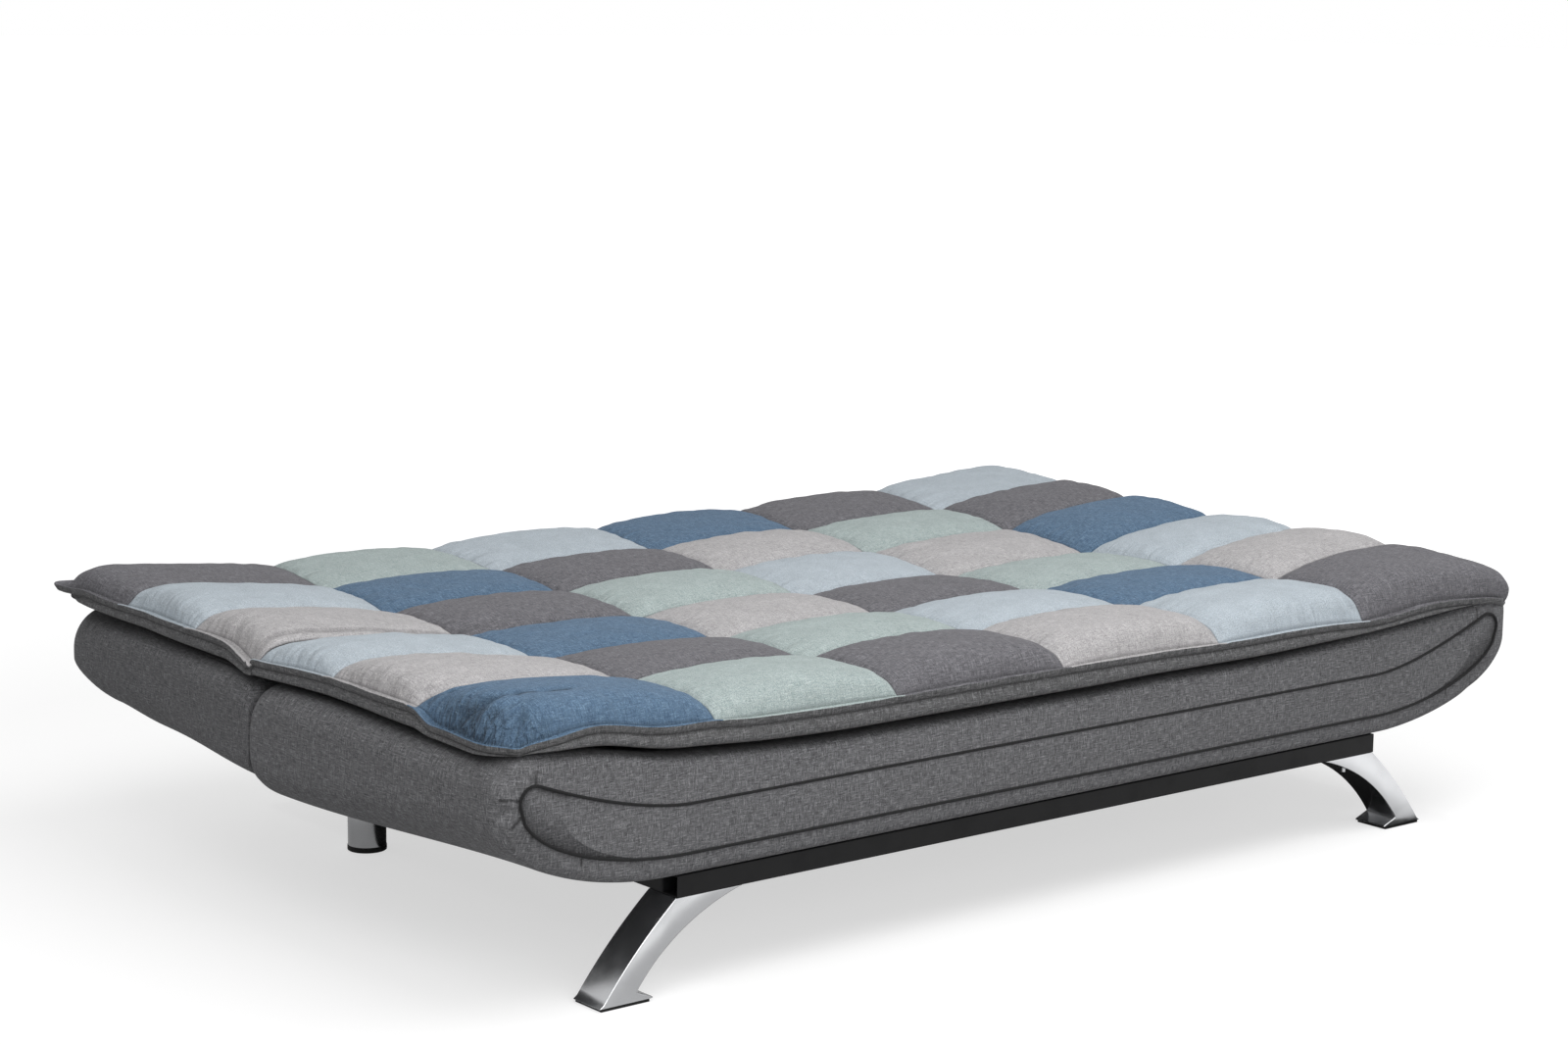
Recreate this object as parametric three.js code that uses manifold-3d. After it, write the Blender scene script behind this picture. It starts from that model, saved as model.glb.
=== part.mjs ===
import * as THREE from 'three';
import Module from 'manifold-3d';
import { mergeVertices } from 'three/addons/utils/BufferGeometryUtils.js';

// A click clack sofa bed, folded flat. Millimetres, +Z up, the front faces -Y.
// The origin lies on the floor under the fold between the seat and the back.

// The quilted pads
const padLength = 1960;
const padDepth = 625;
const columns = 6;
const rowsPerPad = 3;
const padBottom = 318;
const seamLevel = 388;
const crownHeight = 40;
const seamBulge = 12;
const lipLevel = 366;
const endLipLevel = 392;
const endLipDip = 18;
const rearLipLevel = 384;
const bandDrawIn = 9;
const bandFoot = 6;
const bandWaistShare = 0.5;
const edgeFall = 75;
const levelHalf = 400;
const endRise = 42;
const riseLength = 560;
const padRiseShare = 0.45;
const risePower = 1.6;
const crownPower = 0.62;
const edgePower = 0.45;
const cellShares = [0, 0.12, 0.34, 0.66, 0.88];

// The fold: its axis, its swing and the notch that the two pads leave over it
const axisHeight = 345;
const foldSwing = 75;
const foldEase = 1.2;
const lockPitch = 12.5;
const foldGap = 0.6;
const seat = -1;
const back = 1;

// Clearances
const fit = 0.3;
const overrun = 2;
const grooveWidth = 120;

// The upholstered seat body
const seatFront = 616;
const frontHalf = 985;
const frontFlatHalf = 730;
const frontSweepTop = 290;
const foldHalf = 970;
const foldFlatHalf = 900;
const foldSweepTop = 230;
const bolsterDepth = 76;
const bolsterRound = 10;
const topRound = 12;
const roundMidShare = 0.3;
const borderDepth = 32;
const foldClearance = 8;
const endBolsterInner = 735;
const foamHalf = 683;

// The upholstered back body, which is thinner and climbs towards its free edge
const backBottom = 200;
const backClimb = 16;
const backReach = 612;
const backFlatHalf = 915;
const backSweepTop = 245;
const backBolsterDepth = 102;
const backEdgeSweepTop = 285;
const backEdgeRound = 92;
const backCornerCut = 16;

// The shaped front panel and its piping
const panelThickness = 3;
const panelBottom = 200;
const panelTop = 265;
const panelFlatHalf = 690;
const panelSweepHeight = 103;
const panelSweepLength = 265;
const tipRadius = 20;
const tipCentre = 935;
const tipHeight = 306;
const tipStartShare = -0.05;
const tipEndShare = 0.61;
const pipingRadius = 2.5;

// The steel frames inside the bodies
const tubeSize = 30;
const backTubeSize = 25;
const tubeWall = 1.5;
const coverThickness = 2;
const springWire = 4;
const springSwing = 26;
const springWaves = 7;
const springCount = 4;
const backSpringCount = 3;
const springMargin = 120;

// The base: black rails, two chrome front legs and two round rear legs
const railHalf = 703;
const railHeight = 30;
const railWidth = 35;
const railFront = 608;
const railRear = 290;
const crossBarPlace = 70;
const legHeight = 136;
const legThickness = 62;
const legSetBack = 2;
const legTopInner = 600;
const legTopOuter = 703;
const legFootInner = 744;
const legFootOuter = 827;
const ankleInset = 26;
const ankleHeight = 17;
const footEdge = 5;
const footPadHeight = 4;
const footPadInset = 1.5;
const legOuterPull = 7;
const legInnerPull = 27;
const rearLegRadius = 30;
const rearLegPlace = 641;
const rearLegBack = 272;
const glideHeight = 5;
const glideInset = 1.5;
const legPlateLength = 100;
const legPlateDepth = 64;
const legPlateThickness = 4;
const boltRadius = 4;
const boltHeadRadius = 8;
const boltHeadHeight = 5;
const boltGrip = 28;

// The ratchet hinges at both ends of the fold
const plateThickness = 5;
const hubRadius = 20;
const pinRadius = 6;
const pinHeadRadius = 10;
const pinHeadHeight = 3;
const toothTip = 58;
const toothDepth = 7;
const toothRiseShare = 0.2;
const toothCrestShare = 0.45;
const sectorStart = 195;
const plateTangent = 10;
const armHeight = 44;
const armReach = 120;
const armStart = 24;
const neckDrop = 35;
const neckSpread = 2;
const pawlBack = 50;
const pawlDrop = 92;
const pawlRadius = 10;
const pawlPinRadius = 4;
const pawlTip = 6;
const pawlLead = 8;
const pawlStartShare = 0.7;
const pawlTurnShare = 0.95;
const springCoilWire = 1.6;
const springCoils = 3;
const springCoilGap = 0.5;
const notchInner = 685;
const notchOuter = 733;
const notchRadius = 26;
const sectorNotchReach = 64;
const sectorNotchTop = 4;

// How finely round shapes are cut
const roundSteps = 24;
const sweepSteps = 8;
const curveSteps = 7;
const tubeSides = 4;
const wireSides = 6;
const stepsPerWave = 6;
const stepsPerCoil = 8;

// Worked out from the sizes above
const cellLength = padLength / columns;
const cellDepth = padDepth / rowsPerPad;
const padHalf = padLength / 2;
const groovePitch = Math.tan(THREE.MathUtils.degToRad((180 - foldSwing) / 2 - foldEase));
const bodyTop = padBottom - fit;
const seatBottom = legHeight + railHeight + fit;
const foamBack = foldClearance + borderDepth + fit;
const tubeBottom = seatBottom + coverThickness + 2 * fit;
const backTubeBottom = backBottom + coverThickness + 2 * fit;
const seatPlateInner = notchInner + plateThickness + fit;
const backPlateInner = seatPlateInner + plateThickness + fit;
const padLines = gridLines(columns, cellLength).map((place) => place - padHalf);
const padRows = gridLines(rowsPerPad, cellDepth);

// Grid lines over a run of equal cells
function gridLines(cells, size) {
  const lines = [];
  for (let cell = 0; cell < cells; cell += 1) {
    lines.push(...cellShares.map((share) => (cell + share) * size));
  }
  lines.push(cells * size);
  return lines;
}

const wasm = await Module();
wasm.setup();

const steel = { color: 0x3a3b3d, roughness: 0.45, metalness: 0.85 };
const chrome = { color: 0xd9dbdc, roughness: 0.08, metalness: 1 };
const blackRail = { color: 0x1c1c1d, roughness: 0.55, metalness: 0.2 };
const rubber = { color: 0x141414, roughness: 0.8, metalness: 0 };
const greyFabric = { color: 0x5f5f61, roughness: 0.95, metalness: 0 };
const padFabric = { color: 0x8f989b, roughness: 0.95, metalness: 0 };
const foam = { color: 0xd8cfae, roughness: 1, metalness: 0 };
const blackCloth = { color: 0x1f1f20, roughness: 1, metalness: 0 };
const pipingCord = { color: 0x1a1a1b, roughness: 0.9, metalness: 0 };

const sofa = new THREE.Group();

function add(name, geometry, look) {
  const mesh = new THREE.Mesh(geometry, new THREE.MeshStandardMaterial(look));
  mesh.name = name;
  sofa.add(mesh);
}

// A pair of mirrored pieces: the geometry given is the right one
function addPair(name, geometry, look) {
  add(`${name}_right`, geometry, look);
  add(`${name}_left`, mirrored(geometry), look);
}

// A closed body from points and triangles, turned so that its faces point outwards
function closedBody(points, triangles) {
  let volume = 0;
  for (let i = 0; i < triangles.length; i += 3) {
    const [a, b, c] = [points[triangles[i]], points[triangles[i + 1]], points[triangles[i + 2]]];
    volume += a.dot(b.clone().cross(c));
  }
  const order = volume < 0 ? triangles.slice().reverse() : triangles;
  const geometry = new THREE.BufferGeometry();
  const numbers = points.flatMap((point) => point.toArray());
  geometry.setAttribute('position', new THREE.Float32BufferAttribute(numbers, 3));
  geometry.setIndex(order);
  geometry.computeVertexNormals();
  return geometry;
}

function mirrored(geometry) {
  const place = geometry.getAttribute('position');
  const points = [];
  for (let i = 0; i < place.count; i += 1) {
    points.push(new THREE.Vector3(-place.getX(i), place.getY(i), place.getZ(i)));
  }
  const index = geometry.getIndex();
  const order = index ? Array.from(index.array) : points.map((point, i) => i);
  return closedBody(points, order);
}

function solid(geometry) {
  const bare = geometry.clone();
  bare.deleteAttribute('normal');
  bare.deleteAttribute('uv');
  const merged = mergeVertices(bare);
  const mesh = new wasm.Mesh({
    numProp: 3,
    vertProperties: new Float32Array(merged.getAttribute('position').array),
    triVerts: new Uint32Array(merged.getIndex().array),
  });
  return new wasm.Manifold(mesh);
}

function cut(geometry, cutters) {
  let rest = solid(geometry);
  for (const cutter of cutters) {
    rest = rest.subtract(solid(cutter));
  }
  const mesh = rest.getMesh();
  const result = new THREE.BufferGeometry();
  result.setAttribute('position', new THREE.Float32BufferAttribute(mesh.vertProperties, 3));
  result.setIndex(Array.from(mesh.triVerts));
  result.computeVertexNormals();
  return result;
}

// A block between two corners
function block(x0, x1, y0, y1, z0, z1) {
  const geometry = new THREE.BoxGeometry(x1 - x0, y1 - y0, z1 - z0);
  geometry.translate((x0 + x1) / 2, (y0 + y1) / 2, (z0 + z1) / 2);
  return geometry;
}

// A round bar standing on z0
function post(radius, z0, z1, x, y) {
  const geometry = new THREE.CylinderGeometry(radius, radius, z1 - z0, roundSteps);
  geometry.rotateX(Math.PI / 2);
  geometry.translate(x, y, (z0 + z1) / 2);
  return geometry;
}

// A round bar along X between x0 and x1
function crossPost(radius, x0, x1, y, z) {
  const geometry = new THREE.CylinderGeometry(radius, radius, x1 - x0, roundSteps);
  geometry.rotateZ(Math.PI / 2);
  geometry.translate((x0 + x1) / 2, y, z);
  return geometry;
}

// A square tube: size outside, walls of one thickness, open ends. It runs along X or along Y.
function squareTube(alongX, start, end, across, bottom, width, height, wall) {
  const shape = new THREE.Shape([
    new THREE.Vector2(0, 0), new THREE.Vector2(width, 0),
    new THREE.Vector2(width, height), new THREE.Vector2(0, height),
  ]);
  shape.holes.push(new THREE.Path([
    new THREE.Vector2(wall, wall), new THREE.Vector2(wall, height - wall),
    new THREE.Vector2(width - wall, height - wall), new THREE.Vector2(width - wall, wall),
  ]));
  const geometry = new THREE.ExtrudeGeometry(shape, { depth: end - start, bevelEnabled: false });
  geometry.rotateX(Math.PI / 2);
  if (alongX) {
    geometry.rotateZ(Math.PI / 2);
    geometry.translate(start, across, bottom);
  } else {
    geometry.translate(across, end, bottom);
  }
  return geometry;
}

// A flat plate drawn in the YZ plane, with round holes, from x0 towards +X
function plate(outline, holes, x0, thickness = plateThickness) {
  const shape = new THREE.Shape(outline.map(([y, z]) => new THREE.Vector2(y, z)));
  for (const [y, z, radius] of holes) {
    const hole = new THREE.Path();
    hole.absarc(y, z, radius, 0, 2 * Math.PI, true);
    shape.holes.push(hole);
  }
  const options = { depth: thickness, bevelEnabled: false, curveSegments: roundSteps };
  const geometry = new THREE.ExtrudeGeometry(shape, options);
  const place = geometry.getAttribute('position');
  for (let i = 0; i < place.count; i += 1) {
    place.setXYZ(i, x0 + place.getZ(i), place.getX(i), place.getY(i));
  }
  geometry.computeVertexNormals();
  return geometry;
}

// How far the dished top of the bodies, and so each pad, has climbed at x: straight between
// the grid lines of the pads, so that the pads and the bodies under them share one surface
function dish(x) {
  const curve = (place) => endRise * (Math.max(0, place - levelHalf) / riseLength) ** risePower;
  const place = Math.abs(x);
  const after = padLines.findIndex((line) => line > place);
  const upper = after < 0 ? padLines.length - 1 : after;
  const [low, high] = [padLines[upper - 1], padLines[upper]];
  return curve(low) + (curve(high) - curve(low)) * (place - low) / (high - low);
}

// The back and all that is fixed to it climbs evenly from the fold to its free edge
function climb(geometry) {
  const place = geometry.getAttribute('position');
  for (let i = 0; i < place.count; i += 1) {
    place.setZ(i, place.getZ(i) + backClimb * place.getY(i) / padDepth);
  }
  geometry.computeVertexNormals();
  return geometry;
}

// The even curve between two levels, flat at both ends
function ease(from, to, share) {
  const t = THREE.MathUtils.clamp(share, 0, 1);
  return from + (to - from) * t * t * (3 - 2 * t);
}

// The swell of a cell across one direction: none at its seams and full in its middle. The
// half of a cell that ends at a pad's free edge is fuller.
function swell(place, size, fromEdge) {
  const share = 2 * (place / size - Math.floor(place / size)) - 1;
  return Math.max(0, 1 - share * share) ** (fromEdge < size / 2 ? edgePower : crownPower);
}

// The height of a pad's quilted top. Distance is measured from the fold.
function padTop(side, x, distance) {
  const fromEnd = padHalf - Math.abs(x);
  const fromOuter = padDepth - distance;
  const along = swell(padHalf + x, cellLength, fromEnd);
  const across = swell(distance, cellDepth, fromOuter);
  const outer = side === seat ? lipLevel : rearLipLevel;
  const middle = Math.sin(Math.PI * distance / padDepth);
  const endLevel = endLipLevel - endLipDip * (1 - middle) - padRiseShare * dish(padHalf);
  const nearOuter = ease(outer, seamLevel, fromOuter / edgeFall);
  const level = Math.min(nearOuter, ease(endLevel, seamLevel, fromEnd / edgeFall));
  const full = along * across;
  const bulge = seamBulge * (along + across - full) * ease(0, 1, fromOuter / edgeFall);
  return level + padRiseShare * dish(x) + bulge * (1 - full) + crownHeight * full;
}

// The places round the rim of a grid, in order
function rimOf(nx, ny) {
  const run = (count, place) => Array.from({ length: count }, (none, k) => place(k));
  return [
    ...run(nx, (k) => [k, 0]), ...run(ny, (k) => [nx, k]),
    ...run(nx, (k) => [nx - k, ny]), ...run(ny, (k) => [0, ny - k]),
  ];
}

// A pad: quilted top, thin lip at the seam, drawn-in band and a bottom that follows the dish
function pad(side) {
  const across = padLines;
  const deep = padRows;
  const nx = across.length - 1;
  const ny = deep.length - 1;
  const points = [];
  const triangles = [];
  const quad = (a, b, c, d) => triangles.push(a, b, c, a, c, d);
  const place = (x, distance, z) => {
    const y = side * Math.max(foldGap / 2, distance);
    points.push(new THREE.Vector3(x, y, z));
    return points.length - 1;
  };
  const top = across.map((x) => deep.map((d) => place(x, d, padTop(side, x, d))));
  const rim = rimOf(nx, ny);
  const ring = (inset, heightShare) => rim.map(([i, j]) => {
    const x = across[i] * (1 - inset / padHalf);
    const d = Math.min(deep[j], padDepth - inset);
    const low = padBottom + dish(x);
    return place(x, d, low + heightShare * (padTop(side, across[i], deep[j]) - low));
  });
  const rings = [rim.map(([i, j]) => top[i][j]), ring(bandDrawIn, bandWaistShare), ring(bandFoot, 0)];
  for (let i = 0; i < nx; i += 1) {
    for (let j = 0; j < ny; j += 1) {
      quad(top[i][j], top[i + 1][j], top[i + 1][j + 1], top[i][j + 1]);
    }
  }
  for (let r = 0; r < rings.length - 1; r += 1) {
    for (let k = 0; k < rim.length; k += 1) {
      const next = (k + 1) % rim.length;
      quad(rings[r][next], rings[r][k], rings[r + 1][k], rings[r + 1][next]);
    }
  }
  const foot = new Map(rim.map(([i, j], k) => [`${i} ${j}`, rings[rings.length - 1][k]]));
  const low = (i, j) => foot.get(`${i} ${j}`);
  for (let i = 1; i < nx - 1; i += 1) {
    quad(low(i, ny), low(i + 1, ny), low(i + 1, 0), low(i, 0));
  }
  for (let j = 0; j < ny; j += 1) {
    triangles.push(low(1, 0), low(0, j), low(0, j + 1));
    triangles.push(low(nx - 1, ny), low(nx, j + 1), low(nx, j));
  }
  triangles.push(low(1, 0), low(0, ny), low(1, ny));
  triangles.push(low(nx - 1, ny), low(nx, 0), low(nx - 1, 0));
  const body = closedBody(points, triangles);
  const seated = side === back ? climb(body) : body;
  return cut(seated, [groove(), ...notches(1), ...notches(-1)]);
}

// The room that a hinge needs in the pads: a slot for its hubs and a lower one for its sector
function notches(hand) {
  const middle = hand * (notchInner + notchOuter) / 2;
  const half = (notchOuter - notchInner) / 2;
  const slot = (reach, top) => {
    return block(middle - half, middle + half, -reach, reach, padBottom - endRise, top);
  };
  return [
    slot(notchRadius, axisHeight + notchRadius),
    slot(sectorNotchReach, axisHeight - sectorNotchTop),
  ];
}

// The open groove over the fold axis, wide enough for the back to swing up to its stop
function groove() {
  const rise = grooveWidth * groovePitch;
  const top = axisHeight + rise;
  const outline = [[0, axisHeight], [grooveWidth, top], [-grooveWidth, top]];
  return plate(outline, [], -frontHalf, 2 * frontHalf);
}

// Half of a body's outline seen from the front, from the bottom round the end to the top
function halfOutline(inner, section) {
  const { bottom, flat, half, sweepTop, trim } = section;
  const low = bottom + trim;
  const end = half - trim;
  const start = Math.max(inner, Math.min(flat, end));
  const sweep = end - Math.min(flat, end);
  const points = [[inner, lowEdge(inner)]];
  function lowEdge(x) {
    if (x <= flat) return low;
    const share = Math.min(1, (x - flat) / sweep);
    return sweepTop - (sweepTop - low) * Math.sqrt(1 - share * share);
  }
  for (let i = 0; i <= sweepSteps; i += 1) {
    const x = start + (end - start) * Math.sin(Math.PI / 2 * i / sweepSteps);
    if (x > inner) points.push([x, lowEdge(x)]);
  }
  const topAt = (x) => bodyTop + dish(x) - trim;
  points.push([end, topAt(end) - topRound]);
  points.push([end - topRound * roundMidShare, topAt(end) - topRound * roundMidShare]);
  points.push([end - topRound, topAt(end - topRound)]);
  for (const x of topLines(inner, end - topRound)) points.push([x, topAt(x)]);
  points.push([inner, topAt(inner)]);
  return points;
}

// The pads' grid lines from an outer place to an inner one. Lines past the outer place crowd
// just inside it, so that every outline of a body has the same number of points.
function topLines(inner, outer) {
  const lines = padLines.filter((line) => line > inner + fit).reverse();
  return lines.map((line, k) => Math.min(line, outer - (k + 1) * fit));
}

function wholeOutline(section) {
  const half = halfOutline(0, section);
  const other = half.slice(1, -1).reverse().map(([x, z]) => [-x, z]);
  return [...half, ...other];
}

// A body through outlines that stand at given places along Y
function loft(outlines, places) {
  const size = outlines[0].length;
  const points = [];
  const triangles = [];
  outlines.forEach((outline, k) => {
    outline.forEach(([x, z]) => points.push(new THREE.Vector3(x, places[k], z)));
  });
  for (let k = 0; k < outlines.length - 1; k += 1) {
    for (let i = 0; i < size; i += 1) {
      const a = k * size + i;
      const b = k * size + (i + 1) % size;
      triangles.push(a, b, b + size, a, b + size, a + size);
    }
  }
  [0, outlines.length - 1].forEach((k) => {
    const flat = outlines[k].map(([x, z]) => new THREE.Vector2(x, z));
    for (const [a, b, c] of THREE.ShapeUtils.triangulateShape(flat, [])) {
      const corners = [a, b, c].map((corner) => k * size + corner);
      if (k === 0) corners.reverse();
      triangles.push(...corners);
    }
  });
  return closedBody(points, triangles);
}

// The seat body's section: its end sweep tightens from the front edge to the fold
function seatSection(y, trim = 0) {
  const share = 1 + y / seatFront;
  return {
    bottom: seatBottom,
    flat: ease(frontFlatHalf, foldFlatHalf, share),
    half: ease(frontHalf, foldHalf, share),
    sweepTop: ease(frontSweepTop, foldSweepTop, share),
    trim,
  };
}

// The back body's section: its bottom curves up to the free edge
function backSection(y, trim = 0) {
  const share = THREE.MathUtils.clamp((y - backReach + backEdgeRound) / backEdgeRound, 0, 1);
  const curve = 1 - Math.sqrt(1 - share * share);
  const bottom = backBottom + (backEdgeSweepTop - backBottom) * curve;
  return {
    bottom,
    flat: backFlatHalf - backCornerCut * curve,
    half: foldHalf - backCornerCut * curve,
    sweepTop: Math.max(backSweepTop, bottom + (backEdgeSweepTop - backSweepTop) * curve),
    trim,
  };
}

// The seat's upholstery
function seatUpholstery() {
  const front = -seatFront;
  const bolsterBack = front + bolsterDepth;
  const mid = bolsterRound * roundMidShare;
  const places = [front, front + mid, front + bolsterRound, bolsterBack];
  const trims = [bolsterRound, mid, 0, 0];
  const outlines = places.map((y, k) => wholeOutline(seatSection(y, trims[k])));
  add('seat_front_bolster', loft(outlines, places), greyFabric);

  const ends = [];
  for (let i = 0; i <= curveSteps; i += 1) {
    ends.push(bolsterBack + fit + (-foldClearance - bolsterBack - fit) * i / curveSteps);
  }
  const endOutlines = ends.map((y) => halfOutline(endBolsterInner, seatSection(y)));
  addPair('seat_end_bolster', cut(loft(endOutlines, ends), [groove()]), greyFabric);

  const rear = block(-foamHalf, foamHalf, -foldClearance - borderDepth, -foldClearance,
    tubeBottom, bodyTop);
  add('seat_rear_border', rear, greyFabric);

  const foamBottom = tubeBottom + tubeSize + springWire + 2 * fit;
  add('seat_foam', foamBlock(bolsterBack + fit, -foamBack, foamBottom), foam);

  const cover = block(-foamHalf, foamHalf, bolsterBack + fit, -foldClearance,
    seatBottom + fit, seatBottom + fit + coverThickness);
  add('seat_dust_cover', cover, blackCloth);
}

// A foam block whose top follows the dish
function foamBlock(y0, y1, bottom) {
  const outline = [[foamHalf, bottom]];
  for (const x of [foamHalf, ...topLines(0, foamHalf)]) outline.push([x, bodyTop + dish(x)]);
  const other = outline.map(([x, z]) => [-x, z]).reverse();
  const whole = [...outline, ...other];
  return loft([whole, whole], [y0, y1]);
}

// The back's upholstery
function backUpholstery() {
  const rearStart = backReach - backBolsterDepth;
  const places = [];
  const trims = [];
  for (let i = 0; i <= curveSteps; i += 1) {
    places.push(rearStart + backBolsterDepth * Math.sin(Math.PI / 2 * i / curveSteps));
    trims.push(i === curveSteps ? bolsterRound / 2 : 0);
  }
  const outlines = places.map((y, k) => wholeOutline(backSection(y, trims[k])));
  add('back_rear_bolster', climb(loft(outlines, places)), greyFabric);

  const ends = [foldClearance, rearStart - fit];
  const endOutlines = ends.map((y) => halfOutline(endBolsterInner, backSection(y)));
  addPair('back_end_bolster', cut(climb(loft(endOutlines, ends)), [groove()]), greyFabric);

  const border = block(-foamHalf, foamHalf, foldClearance, foldClearance + borderDepth,
    backTubeBottom, bodyTop);
  add('back_front_border', climb(border), greyFabric);

  const foamBottom = backTubeBottom + backTubeSize + springWire + 2 * fit;
  add('back_foam', climb(foamBlock(foamBack, rearStart - fit, foamBottom)), foam);

  const cover = block(-foamHalf, foamHalf, foldClearance, rearStart - fit,
    backBottom + fit, backBottom + fit + coverThickness);
  add('back_rear_cover', climb(cover), greyFabric);
}

// The outline of the front panel, grown outwards by an amount
function panelOutline(grow) {
  const half = [];
  const sweepCentre = panelBottom + panelSweepHeight;
  for (let i = 0; i < sweepSteps; i += 1) {
    const turn = Math.PI / 2 * i / sweepSteps;
    const x = panelFlatHalf + (panelSweepLength + grow) * Math.sin(turn);
    half.push([x, sweepCentre - (panelSweepHeight + grow) * Math.cos(turn)]);
  }
  for (let i = 0; i <= curveSteps; i += 1) {
    const share = tipStartShare + (tipEndShare - tipStartShare) * i / curveSteps;
    const turn = Math.PI * share;
    const x = tipCentre + (tipRadius + grow) * Math.cos(turn);
    half.push([x, tipHeight + (tipRadius + grow) * Math.sin(turn)]);
  }
  const [tipX, tipZ] = half[half.length - 1];
  for (let i = 1; i <= sweepSteps; i += 1) {
    const share = 1 - i / sweepSteps;
    const x = panelFlatHalf + (tipX - panelFlatHalf) * share;
    half.push([x, panelTop + grow + (tipZ - panelTop - grow) * share ** risePower]);
  }
  const other = half.map(([x, z]) => [-x, z]).reverse();
  return [...half, ...other];
}

function frontPanel() {
  const outline = panelOutline(0);
  const face = -seatFront - fit;
  add('seat_front_panel', loft([outline, outline], [face - panelThickness, face]), greyFabric);

  const path = panelOutline(pipingRadius + 2 * fit);
  add('seat_front_piping', piping(path, face - pipingRadius), pipingCord);
}

// A round cord along a closed outline in the plane at y
function piping(path, y) {
  const points = [];
  const triangles = [];
  const count = path.length;
  path.forEach(([x, z], k) => {
    const [lastX, lastZ] = path[(k + count - 1) % count];
    const [nextX, nextZ] = path[(k + 1) % count];
    const normal = new THREE.Vector2(nextZ - lastZ, lastX - nextX).normalize();
    for (let i = 0; i < wireSides; i += 1) {
      const turn = 2 * Math.PI * i / wireSides;
      const out = pipingRadius * Math.cos(turn);
      const deep = pipingRadius * Math.sin(turn);
      points.push(new THREE.Vector3(x + normal.x * out, y + deep, z + normal.y * out));
      const a = k * wireSides + i;
      const b = k * wireSides + (i + 1) % wireSides;
      const [c, d] = [a, b].map((corner) => (corner + wireSides) % (count * wireSides));
      triangles.push(a, b, d, a, d, c);
    }
  });
  return closedBody(points, triangles);
}

// The steel frame of the seat: four tubes with zigzag springs across them
function seatFrame() {
  const front = -seatFront + bolsterDepth + fit;
  const rear = -foamBack;
  const side = notchInner - fit;
  const [bottom, size] = [tubeBottom, tubeSize];
  const place = { front, rear, side, frontHalf: side - size, bottom, size };
  addFrame('seat', place, (geometry) => geometry);
  const level = tubeBottom + tubeSize + fit + springWire / 2;
  addSprings('seat', springCount, front, rear, level, (geometry) => geometry);
}

// The steel frame of the back
function backFrame() {
  const front = foamBack;
  const rear = backReach - backBolsterDepth - fit;
  const [bottom, size] = [backTubeBottom, backTubeSize];
  const side = backPlateInner + plateThickness + fit + size;
  const place = { front, rear, side, frontHalf: backPlateInner, bottom, size };
  addFrame('back', place, climb);
  const level = backTubeBottom + backTubeSize + fit + springWire / 2;
  addSprings('back', backSpringCount, front, rear, level, climb);
}

function addFrame(name, place, shape) {
  const { front, rear, side, bottom, size } = place;
  const inner = side - size;
  const bar = (half, start) => {
    return squareTube(true, -half + fit, half - fit, start, bottom, size, size, tubeWall);
  };
  add(`${name}_frame_front`, shape(bar(place.frontHalf, front)), steel);
  add(`${name}_frame_rear`, shape(bar(inner, rear - size)), steel);
  const run = squareTube(false, front, rear, inner, bottom, size, size, tubeWall);
  addPair(`${name}_frame_side`, shape(run), steel);
}

function addSprings(name, count, front, rear, level, shape) {
  const span = 2 * (foamHalf - springMargin);
  const start = front + springWire;
  const end = rear - springWire;
  for (let n = 0; n < count; n += 1) {
    const x = -span / 2 + span * n / (count - 1);
    const path = [];
    for (let i = 0; i <= springWaves * stepsPerWave; i += 1) {
      const share = i / (springWaves * stepsPerWave);
      const swing = springSwing * Math.sin(2 * Math.PI * springWaves * share);
      path.push(new THREE.Vector3(x + swing, start + (end - start) * share, level));
    }
    add(`${name}_spring_${n + 1}`, shape(wire(path, springWire / 2, tubeSides)), steel);
  }
}

// A wire with closed ends along a list of points
function wire(path, radius, sides) {
  const section = new THREE.Shape();
  for (let i = 0; i < sides; i += 1) {
    const turn = 2 * Math.PI * i / sides;
    const [x, y] = [radius * Math.cos(turn), radius * Math.sin(turn)];
    if (i === 0) section.moveTo(x, y);
    else section.lineTo(x, y);
  }
  section.closePath();
  const curve = new THREE.CatmullRomCurve3(path);
  return new THREE.ExtrudeGeometry(section, { steps: path.length - 1, extrudePath: curve });
}

// The black base frame under the seat and the back
function base() {
  const front = -railFront;
  const inner = railHalf - railWidth;
  const rail = (start, end, y) => {
    return squareTube(true, start, end, y, legHeight, railWidth, railHeight, tubeWall);
  };
  const [low, high] = [legHeight - overrun, legHeight + overrun];
  const bolts = [-1, 1].map((hand) => {
    return post(boltRadius + fit, low, high, hand * boltPlace(), boltLine());
  });
  add('base_front_rail', cut(rail(-railHalf, railHalf, front), bolts), blackRail);
  add('base_rear_rail', rail(-railHalf, railHalf, railRear - railWidth), blackRail);
  add('base_cross_bar', rail(-inner + fit, inner - fit, -crossBarPlace - railWidth / 2), blackRail);
  const side = squareTube(false, front + railWidth + fit, railRear - railWidth - fit, inner,
    legHeight, railWidth, railHeight, tubeWall);
  addPair('base_side_rail', side, blackRail);
}

function boltPlace() {
  return (legTopInner + legTopOuter) / 2;
}

function boltLine() {
  return -railFront + railWidth / 2;
}

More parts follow.
